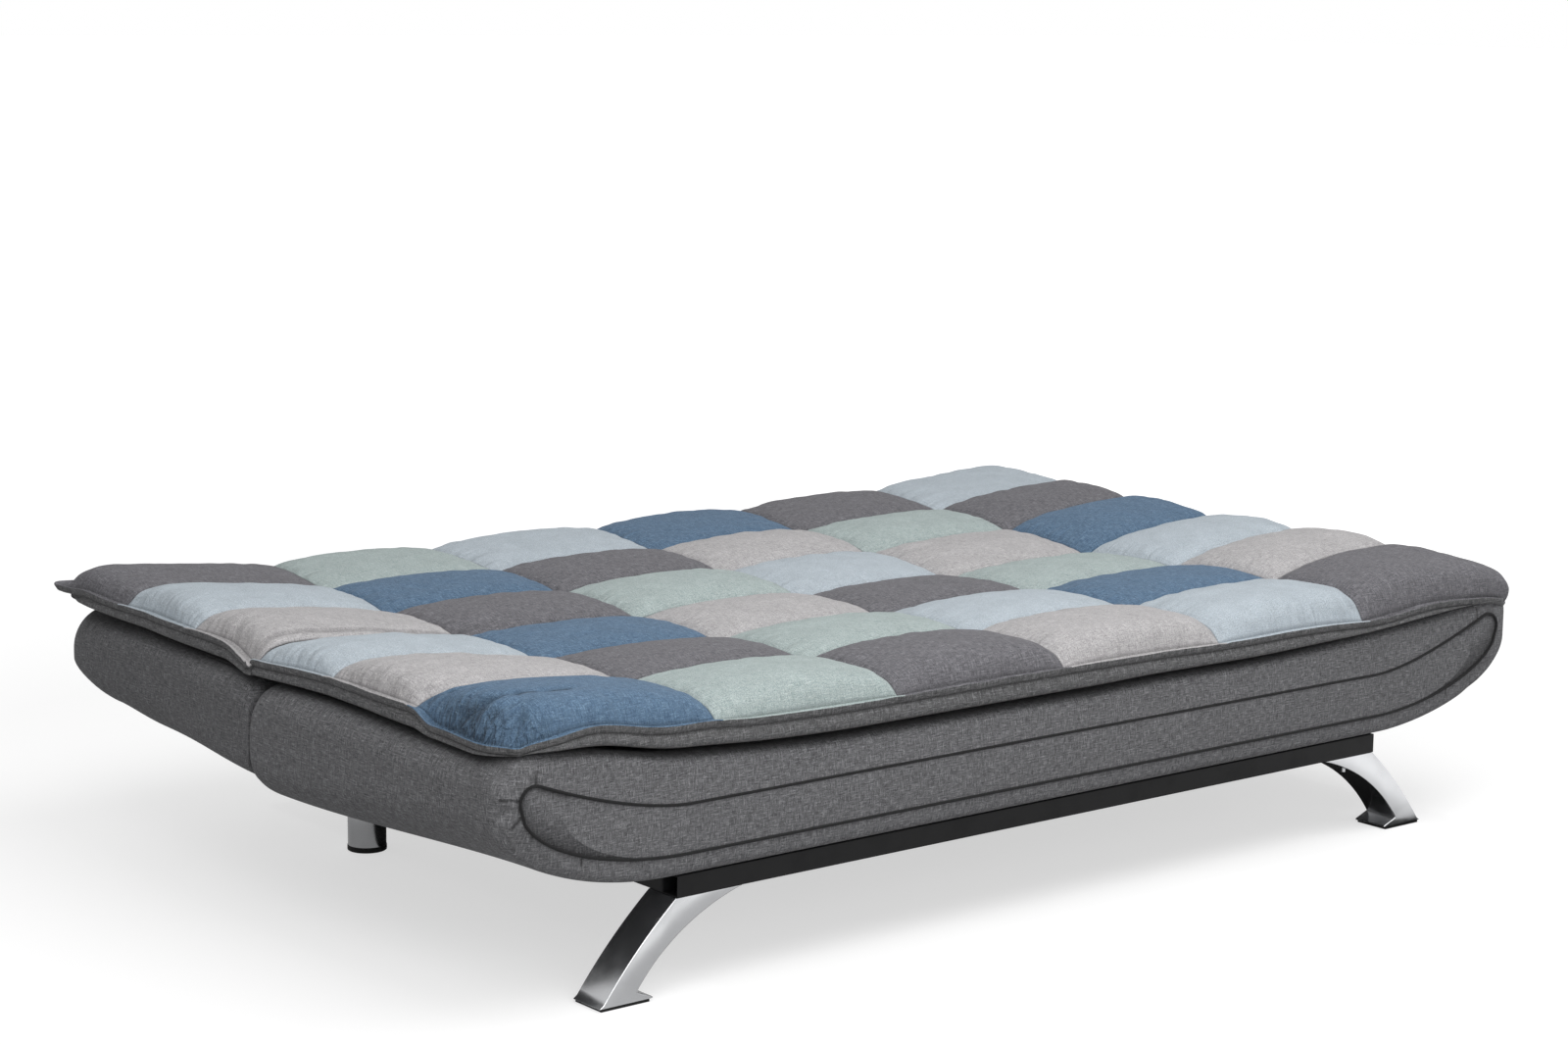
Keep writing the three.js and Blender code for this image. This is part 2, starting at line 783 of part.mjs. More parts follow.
// A chrome front leg: a sabre shape with a flared foot, cut from thick flat metal
function frontLegs() {
  const top = legHeight - fit;
  const foot = footPadHeight + fit;
  const shape = new THREE.Shape();
  shape.moveTo(legTopInner, top);
  shape.lineTo(legTopOuter, top);
  const outerX = (legTopOuter + legFootOuter) / 2 + legOuterPull;
  const outerZ = (top + foot) / 2 + legOuterPull;
  shape.quadraticCurveTo(outerX, outerZ, legFootOuter - footEdge, foot + footEdge);
  shape.lineTo(legFootOuter, foot);
  shape.lineTo(legFootInner, foot);
  shape.lineTo(legFootInner, foot + footEdge / 2);
  const ankleX = legFootInner + ankleInset;
  shape.lineTo(ankleX, ankleHeight);
  const innerX = (legTopInner + ankleX) / 2 + legInnerPull;
  const innerZ = (top + ankleHeight) / 2 + legInnerPull;
  shape.quadraticCurveTo(innerX, innerZ, legTopInner, top);
  const options = { depth: legThickness, bevelEnabled: false, curveSegments: sweepSteps };
  const leg = new THREE.ExtrudeGeometry(shape, options);
  leg.rotateX(Math.PI / 2);
  leg.translate(0, -railFront + legSetBack + legThickness, 0);
  const hole = post(boltRadius + fit, top - boltGrip, top + overrun, boltPlace(), boltLine());
  addPair('front_leg', cut(leg, [hole]), chrome);

  const y0 = -railFront + legSetBack + footPadInset;
  const sole = block(legFootInner + footPadInset, legFootOuter - footPadInset,
    y0, y0 + legThickness - 2 * footPadInset, 0, footPadHeight);
  addPair('front_foot_pad', sole, rubber);

  const headBottom = legHeight + tubeWall + fit;
  const headTop = headBottom + boltHeadHeight;
  const boltBottom = top - boltGrip + fit;
  const [x, y] = [boltPlace(), boltLine()];
  const shank = solid(post(boltRadius, boltBottom, headBottom + fit, x, y));
  const head = solid(post(boltHeadRadius, headBottom, headTop, x, y));
  addPair('front_leg_bolt', fromSolid(shank.add(head)), steel);
}

function fromSolid(body) {
  const mesh = body.getMesh();
  const geometry = new THREE.BufferGeometry();
  geometry.setAttribute('position', new THREE.Float32BufferAttribute(mesh.vertProperties, 3));
  geometry.setIndex(Array.from(mesh.triVerts));
  geometry.computeVertexNormals();
  return geometry;
}

// A round rear leg with its plate under the rails and its black glide
function rearLegs() {
  const plateTop = legHeight - fit;
  const plateBottom = plateTop - legPlateThickness;
  const y0 = rearLegBack - legPlateDepth / 2;
  const mountPlate = block(railHalf - legPlateLength, railHalf, y0, y0 + legPlateDepth,
    plateBottom, plateTop);
  addPair('rear_leg_plate', mountPlate, blackRail);
  const leg = post(rearLegRadius, glideHeight + fit, plateBottom - fit, rearLegPlace, rearLegBack);
  addPair('rear_leg', leg, chrome);
  const glide = post(rearLegRadius - glideInset, 0, glideHeight, rearLegPlace, rearLegBack);
  addPair('rear_leg_glide', glide, rubber);
}

// A point at a distance and a bearing in degrees from the fold axis, in the YZ plane
function polar(radius, bearing) {
  const turn = THREE.MathUtils.degToRad(bearing);
  return [radius * Math.cos(turn), axisHeight + radius * Math.sin(turn)];
}

function arc(radius, from, to, steps) {
  const points = [];
  for (let i = 0; i <= steps; i += 1) points.push(polar(radius, from + (to - from) * i / steps));
  return points;
}

// The fixed plate of a hinge: a hub at the axis and a foot on the seat frame's side tube
function seatPlate() {
  const low = tubeBottom + fit;
  const outline = [
    [-armReach, low], [0, low], ...arc(hubRadius, -plateTangent, 180 + plateTangent, sweepSteps),
    [-hubRadius - neckSpread, axisHeight - neckDrop], [-armReach, low + armHeight],
  ];
  const pivot = pawlPivot();
  const holes = [[0, axisHeight, pinRadius + fit], [pivot[0], pivot[1], pawlPinRadius + fit]];
  return plate(outline, holes, seatPlateInner);
}

// The moving plate: a hub, a toothed sector for the pawl and an arm on the back frame's side tube
function backPlate() {
  const low = backTubeBottom + fit;
  const teeth = [];
  const toothCount = Math.round(foldSwing / lockPitch);
  for (let n = 0; n < toothCount; n += 1) {
    const start = sectorStart + n * lockPitch;
    teeth.push(polar(toothTip - toothDepth, start));
    teeth.push(polar(toothTip, start + lockPitch * toothRiseShare));
    teeth.push(polar(toothTip, start + lockPitch * toothCrestShare));
  }
  teeth.push(polar(toothTip - toothDepth, sectorStart + foldSwing));
  const outline = [
    ...teeth, [armStart, axisHeight - toothTip], [armStart, low], [armReach, low],
    [armReach, low + armHeight], ...arc(hubRadius, -plateTangent, sectorStart, sweepSteps),
  ];
  return plate(outline, [[0, axisHeight, pinRadius + fit]], backPlateInner);
}

// Where the pawl turns, on the seat plate below the sector
function pawlPivot() {
  return [-pawlBack, axisHeight - pawlDrop];
}

// The pawl: a short arm whose tip waits just below the teeth
function pawl() {
  const [py, pz] = pawlPivot();
  const tipTop = axisHeight - toothTip - 2 * fit;
  const tipBottom = tipTop - pawlTip;
  const outline = [];
  for (let i = 0; i <= sweepSteps; i += 1) {
    const turn = Math.PI * (pawlStartShare + pawlTurnShare * i / sweepSteps);
    outline.push([py + pawlRadius * Math.cos(turn), pz + pawlRadius * Math.sin(turn)]);
  }
  const tipPlace = -pawlLead;
  outline.push([tipPlace + pawlTip, tipBottom - pawlTip], [tipPlace + pawlTip, tipTop]);
  outline.push([tipPlace, tipTop], [tipPlace - pawlTip, tipBottom - pawlTip / 2]);
  return plate(outline, [[py, pz, pawlPinRadius + fit]], backPlateInner);
}

// A hinge pin or pawl pin: a shank between two heads
function headedPin(radius, headRadius, y, z, x0, x1) {
  const shank = solid(crossPost(radius, x0 - fit, x1 + fit, y, z));
  const inner = solid(crossPost(headRadius, x0 - fit - pinHeadHeight, x0 - fit, y, z));
  const outer = solid(crossPost(headRadius, x1 + fit, x1 + fit + pinHeadHeight, y, z));
  return fromSolid(shank.add(inner).add(outer));
}

function hinges() {
  addPair('hinge_seat_plate', seatPlate(), steel);
  addPair('hinge_back_plate', backPlate(), steel);
  const outer = backPlateInner + plateThickness;
  const pin = headedPin(pinRadius, pinHeadRadius, 0, axisHeight, seatPlateInner, outer);
  addPair('hinge_pin', pin, steel);

  const [py, pz] = pawlPivot();
  const coilRadius = pawlPinRadius + springCoilWire / 2 + fit;
  const coilPitch = springCoilWire + springCoilGap;
  const coilRoom = springCoils * coilPitch + springCoilWire + 2 * fit;
  addPair('ratchet_pawl', pawl(), steel);
  const pawlPin = headedPin(pawlPinRadius, pawlRadius, py, pz, seatPlateInner, outer + coilRoom);
  addPair('pawl_pin', pawlPin, steel);

  const path = [];
  const start = outer + fit + springCoilWire / 2;
  for (let i = 0; i <= springCoils * stepsPerCoil; i += 1) {
    const turn = 2 * Math.PI * i / stepsPerCoil;
    const x = start + coilPitch * i / stepsPerCoil;
    const [y, z] = [coilRadius * Math.cos(turn), coilRadius * Math.sin(turn)];
    path.push(new THREE.Vector3(x, py + y, pz + z));
  }
  addPair('pawl_spring', wire(path, springCoilWire / 2, wireSides), steel);
}

add('seat_pad', pad(seat), padFabric);
add('back_pad', pad(back), padFabric);
seatUpholstery();
frontPanel();
backUpholstery();
seatFrame();
backFrame();
base();
frontLegs();
rearLegs();
hinges();

export default sofa;
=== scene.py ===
import math

import bmesh
import bpy
from mathutils import Matrix, Vector, noise


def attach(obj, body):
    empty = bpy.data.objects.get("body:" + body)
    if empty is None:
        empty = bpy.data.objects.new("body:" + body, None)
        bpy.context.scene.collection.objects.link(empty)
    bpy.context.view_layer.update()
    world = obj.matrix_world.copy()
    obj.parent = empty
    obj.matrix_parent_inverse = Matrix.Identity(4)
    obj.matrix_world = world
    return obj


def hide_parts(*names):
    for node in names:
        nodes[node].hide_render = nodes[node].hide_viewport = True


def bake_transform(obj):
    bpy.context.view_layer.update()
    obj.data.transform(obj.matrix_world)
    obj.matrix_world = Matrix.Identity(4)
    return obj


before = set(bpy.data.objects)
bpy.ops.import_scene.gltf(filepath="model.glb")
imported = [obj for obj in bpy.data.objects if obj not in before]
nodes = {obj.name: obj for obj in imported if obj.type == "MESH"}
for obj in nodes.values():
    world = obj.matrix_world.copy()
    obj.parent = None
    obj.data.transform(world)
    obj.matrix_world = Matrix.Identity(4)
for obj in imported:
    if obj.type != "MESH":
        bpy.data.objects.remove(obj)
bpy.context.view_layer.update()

MM = 0.001

# Sizes in millimetres. Half the length of the pads, their depth, and their patches
PAD_HALF = 980.0
PAD_DEPTH = 625.0
COLUMNS = 6
ROWS = 3
CELL_WIDE = 2 * PAD_HALF / COLUMNS
CELL_DEEP = PAD_DEPTH / ROWS

# Heights of the pads' underside, seams and lips, and how far patches and seams stand up
PAD_BOTTOM = 318.0
SEAM_LEVEL = 388.0
CROWN = 39.0
SEAM_BULGE = 11.0
FRONT_LIP = 366.0
REAR_LIP = 370.0
END_LIP = 403.0
END_LIP_DIP = 8.0

# The ends sweep up from a level middle, and the back climbs a little towards its outer edge
LEVEL_HALF = 400.0
END_RISE = 42.0
RISE_LENGTH = 560.0
PAD_RISE = 0.45
CLIMB = 16.0

# Within these distances of the outer edge and of an end, a pad's top falls to its lip
EDGE_FALL = 90.0
END_FALL = 120.0

# Distances from the fold: the seam before the outer row of patches, and the back pad's hem
OUTER_SEAM = 417.0
HEM = 17.0

# The height of the fold's axis, and the two halves of the bed by their side of it
AXIS = 345.0
SEAT = -1
BACK = 1

# The reach of the two bodies, and the heights of their undersides and tops
SEAT_FRONT = 616.0
BACK_REACH = 612.0
SEAT_BOTTOM = 166.3
BACK_BOTTOM = 200.0
BODY_TOP = 317.7

# The cloth of each patch, in rows from the front to the rear, each from the left to the right
PATCHES = [
    ["blue", "mint", "slate", "sand", "sky", "slate"],
    ["sand", "slate", "mint", "sky", "blue", "sand"],
    ["sky", "blue", "sand", "slate", "mint", "sky"],
    ["sand", "slate", "mint", "sky", "sand", "blue"],
    ["sky", "blue", "slate", "sand", "mint", "slate"],
    ["slate", "mint", "sky", "blue", "slate", "sky"],
]


def clamp(value):
    """Holds a value between none and one."""
    return min(1.0, max(0.0, value))


def ease(low, high, share):
    """A smooth way from low to high."""
    t = clamp(share)
    return low + (high - low) * t * t * (3 - 2 * t)


def hump(place, middle, reach):
    """A bell: one at its middle, and about a third at its reach."""
    return math.exp(-(((place - middle) / reach) ** 2))


def quarter(share):
    """The fall of a quarter circle, from none to one."""
    return 1 - math.sqrt(1 - share * share)


def from_seam(place, pitch):
    """The distance to the nearest seam, where one lies at every pitch."""
    return min(place % pitch, pitch - place % pitch)


def at(x, y, z):
    """A place given in millimetres."""
    return Vector((x, y, z)) * MM


def dish(x):
    """How far the bed sweeps up towards its ends."""
    return END_RISE * (max(0.0, abs(x) - LEVEL_HALF) / RISE_LENGTH) ** 1.6


def climb(side, y):
    """How far the back rises towards its outer edge."""
    return CLIMB * y / PAD_DEPTH if side == BACK else 0.0


def row_from_front(side, row):
    """The row of patches as counted from the front, from its number as counted from the fold."""
    return ROWS - 1 - row if side == SEAT else ROWS + row


# Shader groups

def linear(rgb):
    """A colour of 0 to 255 as the linear one that shaders take."""
    shares = [c / 255 for c in rgb]
    return [c / 12.92 if c <= 0.04045 else ((c + 0.055) / 1.055) ** 2.4 for c in shares] + [1.0]


class Tree:
    """A short way to place and join shader nodes."""

    def __init__(self, nodes_and_links):
        self.nodes = nodes_and_links.nodes
        self.links = nodes_and_links.links

    def add(self, kind, settings=None, **inputs):
        node = self.nodes.new(kind)
        for name, value in (settings or {}).items():
            setattr(node, name, value)
        for name, value in inputs.items():
            self.feed(node, name.replace("_", " "), value)
        return node

    def feed(self, node, name, value):
        socket = node.inputs[int(name)] if name.isdigit() else node.inputs[name]
        if isinstance(value, bpy.types.NodeSocket):
            self.links.new(value, socket)
        else:
            socket.default_value = value

    def set(self, node, values):
        """Gives sockets of a node their values or links, by name."""
        for name, value in values.items():
            self.feed(node, name, value)

    def math(self, what, a, b=0.0, clamp=False):
        node = self.nodes.new("ShaderNodeMath")
        node.operation = what
        node.use_clamp = clamp
        self.feed(node, "0", a)
        self.feed(node, "1", b)
        return node.outputs[0]

    def mix(self, share, a, b, how="MIX"):
        node = self.nodes.new("ShaderNodeMix")
        node.data_type = "RGBA"
        node.blend_type = how
        self.feed(node, "0", share)
        self.feed(node, "6", a)
        self.feed(node, "7", b)
        return node.outputs[2]

    def vector(self, what, a, b):
        node = self.nodes.new("ShaderNodeVectorMath")
        node.operation = what
        self.feed(node, "0", a)
        self.feed(node, "Scale" if what == "SCALE" else "1", b)
        return node.outputs[0]

    def dot(self, a, b):
        node = self.nodes.new("ShaderNodeVectorMath")
        node.operation = "DOT_PRODUCT"
        self.feed(node, "0", a)
        self.feed(node, "1", b)
        return node.outputs["Value"]

    def stretch(self, vector, scale, place=(0, 0, 0)):
        node = self.nodes.new("ShaderNodeMapping")
        self.set(node, {"Vector": vector, "Scale": scale, "Location": place})
        return node.outputs[0]

    def noise(self, vector, scale, detail, rough):
        node = self.nodes.new("ShaderNodeTexNoise")
        self.set(node, {"Vector": vector, "Scale": scale, "Detail": detail, "Roughness": rough})
        return node.outputs[0]

    def streaks(self, vector, scale, detail, rough, place=(0, 0, 0)):
        """Noise with a scale of its own along each axis."""
        return self.noise(self.stretch(vector, scale, place), 1.0, detail, rough)

    def span(self, value, low, high, to_low=0.0, to_high=1.0):
        """Carries a value from one range into another and holds it in there."""
        node = self.nodes.new("ShaderNodeMapRange")
        self.set(node, {"Value": value, "From Min": low, "From Max": high, "To Min": to_low,
                        "To Max": to_high})
        return node.outputs[0]

    def bump(self, height, strength, distance, normal=None):
        node = self.add("ShaderNodeBump", Height=height, Strength=strength, Distance=distance)
        if normal is not None:
            self.feed(node, "Normal", normal)
        return node.outputs[0]


def new_group(name, inputs, outputs):
    """A node group with its tree and the nodes that hold its inputs and outputs. An input without
    a value is a vector, one with four numbers is a colour, and one with a number is a value."""
    group = bpy.data.node_groups.new(name, "ShaderNodeTree")
    for label, value in inputs.items():
        kind = "Vector" if value is None else "Color" if isinstance(value, tuple) else "Float"
        socket = group.interface.new_socket(
            name=label, in_out="INPUT", socket_type="NodeSocket" + kind)
        if value is not None:
            socket.default_value = value
    for label, kind in outputs.items():
        group.interface.new_socket(name=label, in_out="OUTPUT", socket_type="NodeSocket" + kind)
    t = Tree(group)
    return group, t, t.nodes.new("NodeGroupInput"), t.nodes.new("NodeGroupOutput")


# The distance between the yarns, in metres
YARN_PITCH = 0.0014


def weave_group():
    """Melange cloth: light and dark yarns crossing, with slubs and soft mottling."""
    group, t, given, out = new_group("melange_weave", {
        "Vector": None, "Yarn": (0.5, 0.5, 0.5, 1), "Light yarn": (0.8, 0.8, 0.8, 1),
        "Dark yarn": (0.2, 0.2, 0.2, 1), "Melange": 0.5,
    }, {"Color": "Color", "Height": "Float"})
    place = given.outputs["Vector"]
    warp = t.streaks(place, (520, 76, 1), 3.0, 0.65)
    weft = t.streaks(place, (70, 510, 1), 3.0, 0.65, (3.7, 9.1, 0))
    speck = t.streaks(place, (640, 640, 1), 3.0, 0.7, (7.3, 1.9, 0))
    mottle = t.streaks(place, (22, 22, 1), 3.0, 0.6)
    light = t.span(t.math("MAXIMUM", warp, weft), 0.54, 0.72)
    dark = t.span(t.math("MINIMUM", warp, weft), 0.46, 0.3)
    light = t.math("MULTIPLY", light, given.outputs["Melange"])
    dark = t.math("MULTIPLY", dark, given.outputs["Melange"])
    colour = t.mix(light, given.outputs["Yarn"], given.outputs["Light yarn"])
    colour = t.mix(dark, colour, given.outputs["Dark yarn"])
    grain = t.span(speck, 0.3, 0.7, 0.58, 1.42)
    tone = t.math("MULTIPLY", grain, t.span(mottle, 0.3, 0.7, 0.94, 1.06))
    shade = t.add("ShaderNodeCombineColor", Red=tone, Green=tone, Blue=tone)
    colour = t.mix(1.0, colour, shade.outputs[0], "MULTIPLY")
    split = t.add("ShaderNodeSeparateXYZ", Vector=place)
    pitch = 2 * math.pi / YARN_PITCH
    ribs = t.math("SINE", t.math("MULTIPLY", split.outputs[0], pitch))
    rows = t.math("SINE", t.math("MULTIPLY", split.outputs[1], pitch))
    knots = t.math("MULTIPLY", ribs, rows)
    height = t.math("ADD", t.math("MULTIPLY", knots, 0.22), t.math("ADD", warp, weft))
    t.links.new(colour, out.inputs["Color"])
    t.links.new(height, out.inputs["Height"])
    return group


def seam_group():
    """The sewn edge of a patch: a dark line at the seam, which is painted shade in the valley
    between the patches, and a row of stitches beside it.
    """
    group, t, given, out = new_group("patch_seam", {
        "Vector": None, "Wide": CELL_WIDE * MM, "Deep": CELL_DEEP * MM, "Place": None,
    }, {"Seam": "Float", "Stitch": "Float", "Pucker": "Float"})
    split = t.add("ShaderNodeSeparateXYZ", Vector=given.outputs["Vector"])
    u, v = split.outputs[0], split.outputs[1]
    from_side = t.math("MINIMUM", u, t.math("SUBTRACT", given.outputs["Wide"], u))
    from_end = t.math("MINIMUM", v, t.math("SUBTRACT", given.outputs["Deep"], v))
    near = t.math("MINIMUM", from_side, from_end)
    # Painted shade: a dark line along the seam's valley
    seam = t.span(near, 0.0028, 0.0006)
    row = t.math("ABSOLUTE", t.math("SUBTRACT", near, 0.0075))
    line = t.span(row, 0.0014, 0.0004)
    place = given.outputs["Place"]
    beside = t.span(t.streaks(place, (9, 62, 9), 2.0, 0.5), 0.35, 0.65, -1.0, 1.0)
    behind = t.span(t.streaks(place, (62, 9, 9), 2.0, 0.5, (2.3, 5.1, 0)), 0.35, 0.65, -1.0, 1.0)
    beside = t.math("MULTIPLY", beside, t.span(from_side, 0.055, 0.004))
    behind = t.math("MULTIPLY", behind, t.span(from_end, 0.055, 0.004))
    t.links.new(seam, out.inputs["Seam"])
    t.links.new(line, out.inputs["Stitch"])
    t.links.new(t.math("ADD", beside, behind), out.inputs["Pucker"])
    return group


def wear_group():
    """Fine scratches and finger marks for metal: a roughness value and a height."""
    group, t, given, out = new_group(
        "metal_wear", {"Vector": None, "Smooth": 0.05, "Marked": 0.15},
        {"Roughness": "Float", "Height": "Float"})
    place = given.outputs["Vector"]
    cloud = t.noise(place, 22.0, 4.0, 0.6)
    streak = t.streaks(place, (60, 60, 1400), 2.0, 0.6)
    share = t.span(cloud, 0.45, 0.75)
    rough = t.add("ShaderNodeMix", {"data_type": "FLOAT"})
    t.set(rough, {"0": share, "2": given.outputs["Smooth"], "3": given.outputs["Marked"]})
    t.links.new(rough.outputs[0], out.inputs["Roughness"])
    t.links.new(streak, out.inputs["Height"])
    return group


def crease_group():
    """How near a place is to a line: one on the line and none at its half width. The line is
    given by its start, its run, and its run divided by its length squared."""
    group, t, given, out = new_group("sewn_crease", {
        "Vector": None, "Start": None, "Run": None, "Pace": None, "Width": 0.002,
    }, {"Crease": "Float"})
    reach = t.vector("SUBTRACT", given.outputs["Vector"], given.outputs["Start"])
    along = t.math("ADD", t.dot(reach, given.outputs["Pace"]), 0.0, clamp=True)
    nearest = t.vector("SCALE", given.outputs["Run"], along)
    away = t.vector("SUBTRACT", reach, nearest)
    distance = t.math("SQRT", t.dot(away, away))
    share = t.math("DIVIDE", distance, given.outputs["Width"])
    t.links.new(t.math("SUBTRACT", 1.0, share, clamp=True), out.inputs["Crease"])
    return group


WEAVE = weave_group()
SEAM = seam_group()
WEAR = wear_group()
CREASE = crease_group()

# Short seams and gathers round each end of the front panel, pressed in and darkened with painted
# shade
# along them: two ends in millimetres at the right end of the bed, then the half width
CREASES = [
    ((936, -602, 359), (937, -614, 345), 3.0),
    ((937, -614.5, 345), (939, -617, 325), 3.0),
    ((985, -602, 311), (974.6, -611.5, 311.4), 3.4),
    ((974.6, -611.5, 311.4), (962, -615.6, 309), 3.4),
    ((975, -609, 270), (960.5, -615.8, 287.5), 3.4),
    ((946.3, -614.2, 244.5), (941, -616.4, 264), 3.4),
    ((866.8, -616.3, 210), (865, -617, 229), 2.4),
]

# The long fold in the front left patch, in plan, pressed in and darkened with painted shade along
# it
LONG_FOLD = [
    ((-966, -487, 0), (-947, -519, 0), 2.2),
    ((-947, -519, 0), (-917, -539, 0), 2.8),
    ((-917, -539, 0), (-875, -543.5, 0), 2.6),
    ((-875, -543.5, 0), (-838, -544, 0), 1.7),
]


def new_material(name):
    material = bpy.data.materials.new(name)
    material.use_nodes = True
    tree = Tree(material.node_tree)
    return material, tree, tree.nodes["Principled BSDF"]


def sewn_patches(t, solid, shade_and_stitches, folds):
    """Adds the seams, the stitches and the gathers of the quilt to the painted shade and stitches,
    and to the folds. The seam lines and the valleys between the gathers are painted shade.
    """
    patch = t.add("ShaderNodeUVMap", {"uv_map": "patch"}).outputs[0]
    seam = t.add("ShaderNodeGroup", {"node_tree": SEAM}, Vector=patch, Place=solid)
    # Painted shade: a dark line in each seam's valley
    shade_and_stitches = t.math("MAXIMUM", shade_and_stitches, t.math("MULTIPLY", seam.outputs["Seam"], 0.6))
    shade_and_stitches = t.math("MAXIMUM", shade_and_stitches, t.math("MULTIPLY", seam.outputs["Stitch"], 0.05))
    folds = t.math("ADD", folds, t.math("MULTIPLY", seam.outputs["Pucker"], 0.5))
    drawn = t.add("ShaderNodeAttribute", {"attribute_name": "gathers"}).outputs["Fac"]
    strokes = t.span(t.streaks(solid, (150, 150, 16), 2.0, 0.55), 0.42, 0.57)
    folds = t.math("ADD", folds, t.math("MULTIPLY", t.math("MULTIPLY", strokes, drawn), 3.4))
    # Painted shade in the valleys between the gathers
    valley = t.math("MULTIPLY", t.math("SUBTRACT", 0.95, strokes, clamp=True), drawn)
    return t.math("MAXIMUM", shade_and_stitches, valley), folds


def press_lines(t, lines, measured, shade_and_stitches, folds):
    """Adds a crease to the folds for each line, with painted shade along it."""
    for start, end, width in lines:
        begin, finish = Vector(start) * MM, Vector(end) * MM
        run = finish - begin
        crease = t.add("ShaderNodeGroup", {"node_tree": CREASE}, Vector=measured)
        t.set(crease, {"Start": begin, "Run": run, "Pace": run / run.length_squared,
                       "Width": width * MM})
        line = crease.outputs["Crease"]
        # Painted shade along the crease
        shade_and_stitches = t.math("MAXIMUM", shade_and_stitches, line)
        folds = t.math("SUBTRACT", folds, line)
    return shade_and_stitches, folds


def cloth_material(name, yarn, light, dark, melange, sheen=0.03, seamed=False, creases=False,
                   long_fold=False):
    """A melange cloth, darkened where painted shade lies and at its stitches. The patches are
    seamed, and two cloths have lines pressed into them.
    """
    material, t, shader = new_material(name)
    place = t.add("ShaderNodeUVMap", {"uv_map": "cloth"}).outputs[0]
    solid = t.add("ShaderNodeTexCoord").outputs["Object"]
    weave = t.add("ShaderNodeGroup", {"node_tree": WEAVE}, Vector=place)
    t.set(weave, {"Yarn": linear(yarn), "Light yarn": linear(light), "Dark yarn": linear(dark),
                  "Melange": melange})
    # Painted shade drawn on the mesh: under the pads' bands, in their creases and fold valleys, and
    # on the bodies' tops under the pads
    shade_and_stitches = t.add("ShaderNodeAttribute", {"attribute_name": "painted_shade"}).outputs["Fac"]
    folds = t.streaks(solid, (14, 14, 14), 2.0, 0.5)
    if seamed:
        shade_and_stitches, folds = sewn_patches(t, solid, shade_and_stitches, folds)
    if creases:
        mirrored = t.vector("ABSOLUTE", solid, (0, 0, 0))
        flip = t.vector("MULTIPLY", solid, (0, 1, 1))
        measured = t.vector("ADD", t.vector("MULTIPLY", mirrored, (1, 0, 0)), flip)
        shade_and_stitches, folds = press_lines(t, CREASES, measured, shade_and_stitches, folds)
    if long_fold:
        measured = t.vector("MULTIPLY", solid, (1, 1, 0))
        shade_and_stitches, folds = press_lines(t, LONG_FOLD, measured, shade_and_stitches, folds)
    # Painted shade and stitches darken the weave towards a dark yarn
    shade_and_stitch_colour = linear([c * 0.3 for c in dark])
    t.set(shader, {
        "Base Color": t.mix(t.math("MULTIPLY", shade_and_stitches, 0.72), weave.outputs["Color"], shade_and_stitch_colour),
        "Roughness": 0.92, "Specular IOR Level": 0.25,
        "Sheen Weight": sheen, "Sheen Roughness": 0.5,
        "Normal": t.bump(weave.outputs["Height"], 0.5, 0.0006, t.bump(folds, 0.8, 0.003)),
    })
    return material


def metal_material(name, colour, smooth, marked, metallic=1.0, bump=0.02, gloss=0.5):
    """A metal or a dark coat: its roughness runs from smooth to marked."""
    material, t, shader = new_material(name)
    place = t.add("ShaderNodeTexCoord").outputs["Object"]
    wear = t.add("ShaderNodeGroup", {"node_tree": WEAR}, Vector=place, Smooth=smooth,
                 Marked=marked)
    cloud = t.span(t.noise(place, 9.0, 3.0, 0.5), 0.35, 0.65)
    t.set(shader, {
        "Base Color": t.mix(cloud, linear([c * 0.94 for c in colour]), linear(colour)),
        "Roughness": wear.outputs["Roughness"], "Metallic": metallic,
        "Specular IOR Level": gloss,
        "Normal": t.bump(wear.outputs["Height"], bump, 0.0004),
    })
    return material


# The cloths of the patches: their yarn, their light and dark yarns, and how mixed they look
YARNS = {
    "blue": ((84, 107, 130), (119, 144, 166), (46, 67, 93), 0.8),
    "mint": ((157, 168, 167), (196, 205, 203), (117, 135, 133), 0.6),
    "sky": ((169, 178, 185), (200, 207, 213), (140, 151, 161), 0.45),
    "sand": ((168, 166, 167), (211, 208, 207), (120, 116, 117), 0.6),
    "slate": ((101, 100, 104), (144, 143, 148), (62, 61, 65), 0.8),
}
PATCH_CLOTH = {
    shade: cloth_material("patch_" + shade, *yarns, seamed=True, long_fold=shade == "blue")
    for shade, yarns in YARNS.items()
}
BODY_CLOTH = cloth_material("body_grey", (91, 91, 93), (140, 140, 143), (50, 50, 52), 0.85)
SEAT_CLOTH = cloth_material("seat_grey", (98, 98, 100), (149, 149, 152), (54, 54, 56), 0.85,
                            creases=True)
BAND_CLOTH = cloth_material("band_grey", (87, 87, 88), (138, 138, 140), (49, 49, 50), 0.85)
UNDER_CLOTH = cloth_material("dust_cloth_black", (32, 32, 33), (50, 50, 52), (16, 16, 16), 0.5,
                             sheen=0.05)
PIPING_CLOTH = cloth_material("piping_black", (26, 26, 27), (42, 42, 43), (12, 12, 12), 0.5,
                              sheen=0.05)
CHROME = metal_material("chrome_polished", (196, 197, 199), 0.2, 0.3)
TUBE_STEEL = metal_material("tube_brushed", (186, 187, 189), 0.2, 0.3, bump=0.2)
RAIL_BLACK = metal_material("rail_matt_black", (19, 19, 20), 0.62, 0.74, 0.0, 0.08, gloss=0.2)
FRAME_GREY = metal_material("frame_dark_steel", (62, 64, 67), 0.38, 0.55, 0.9, 0.08)
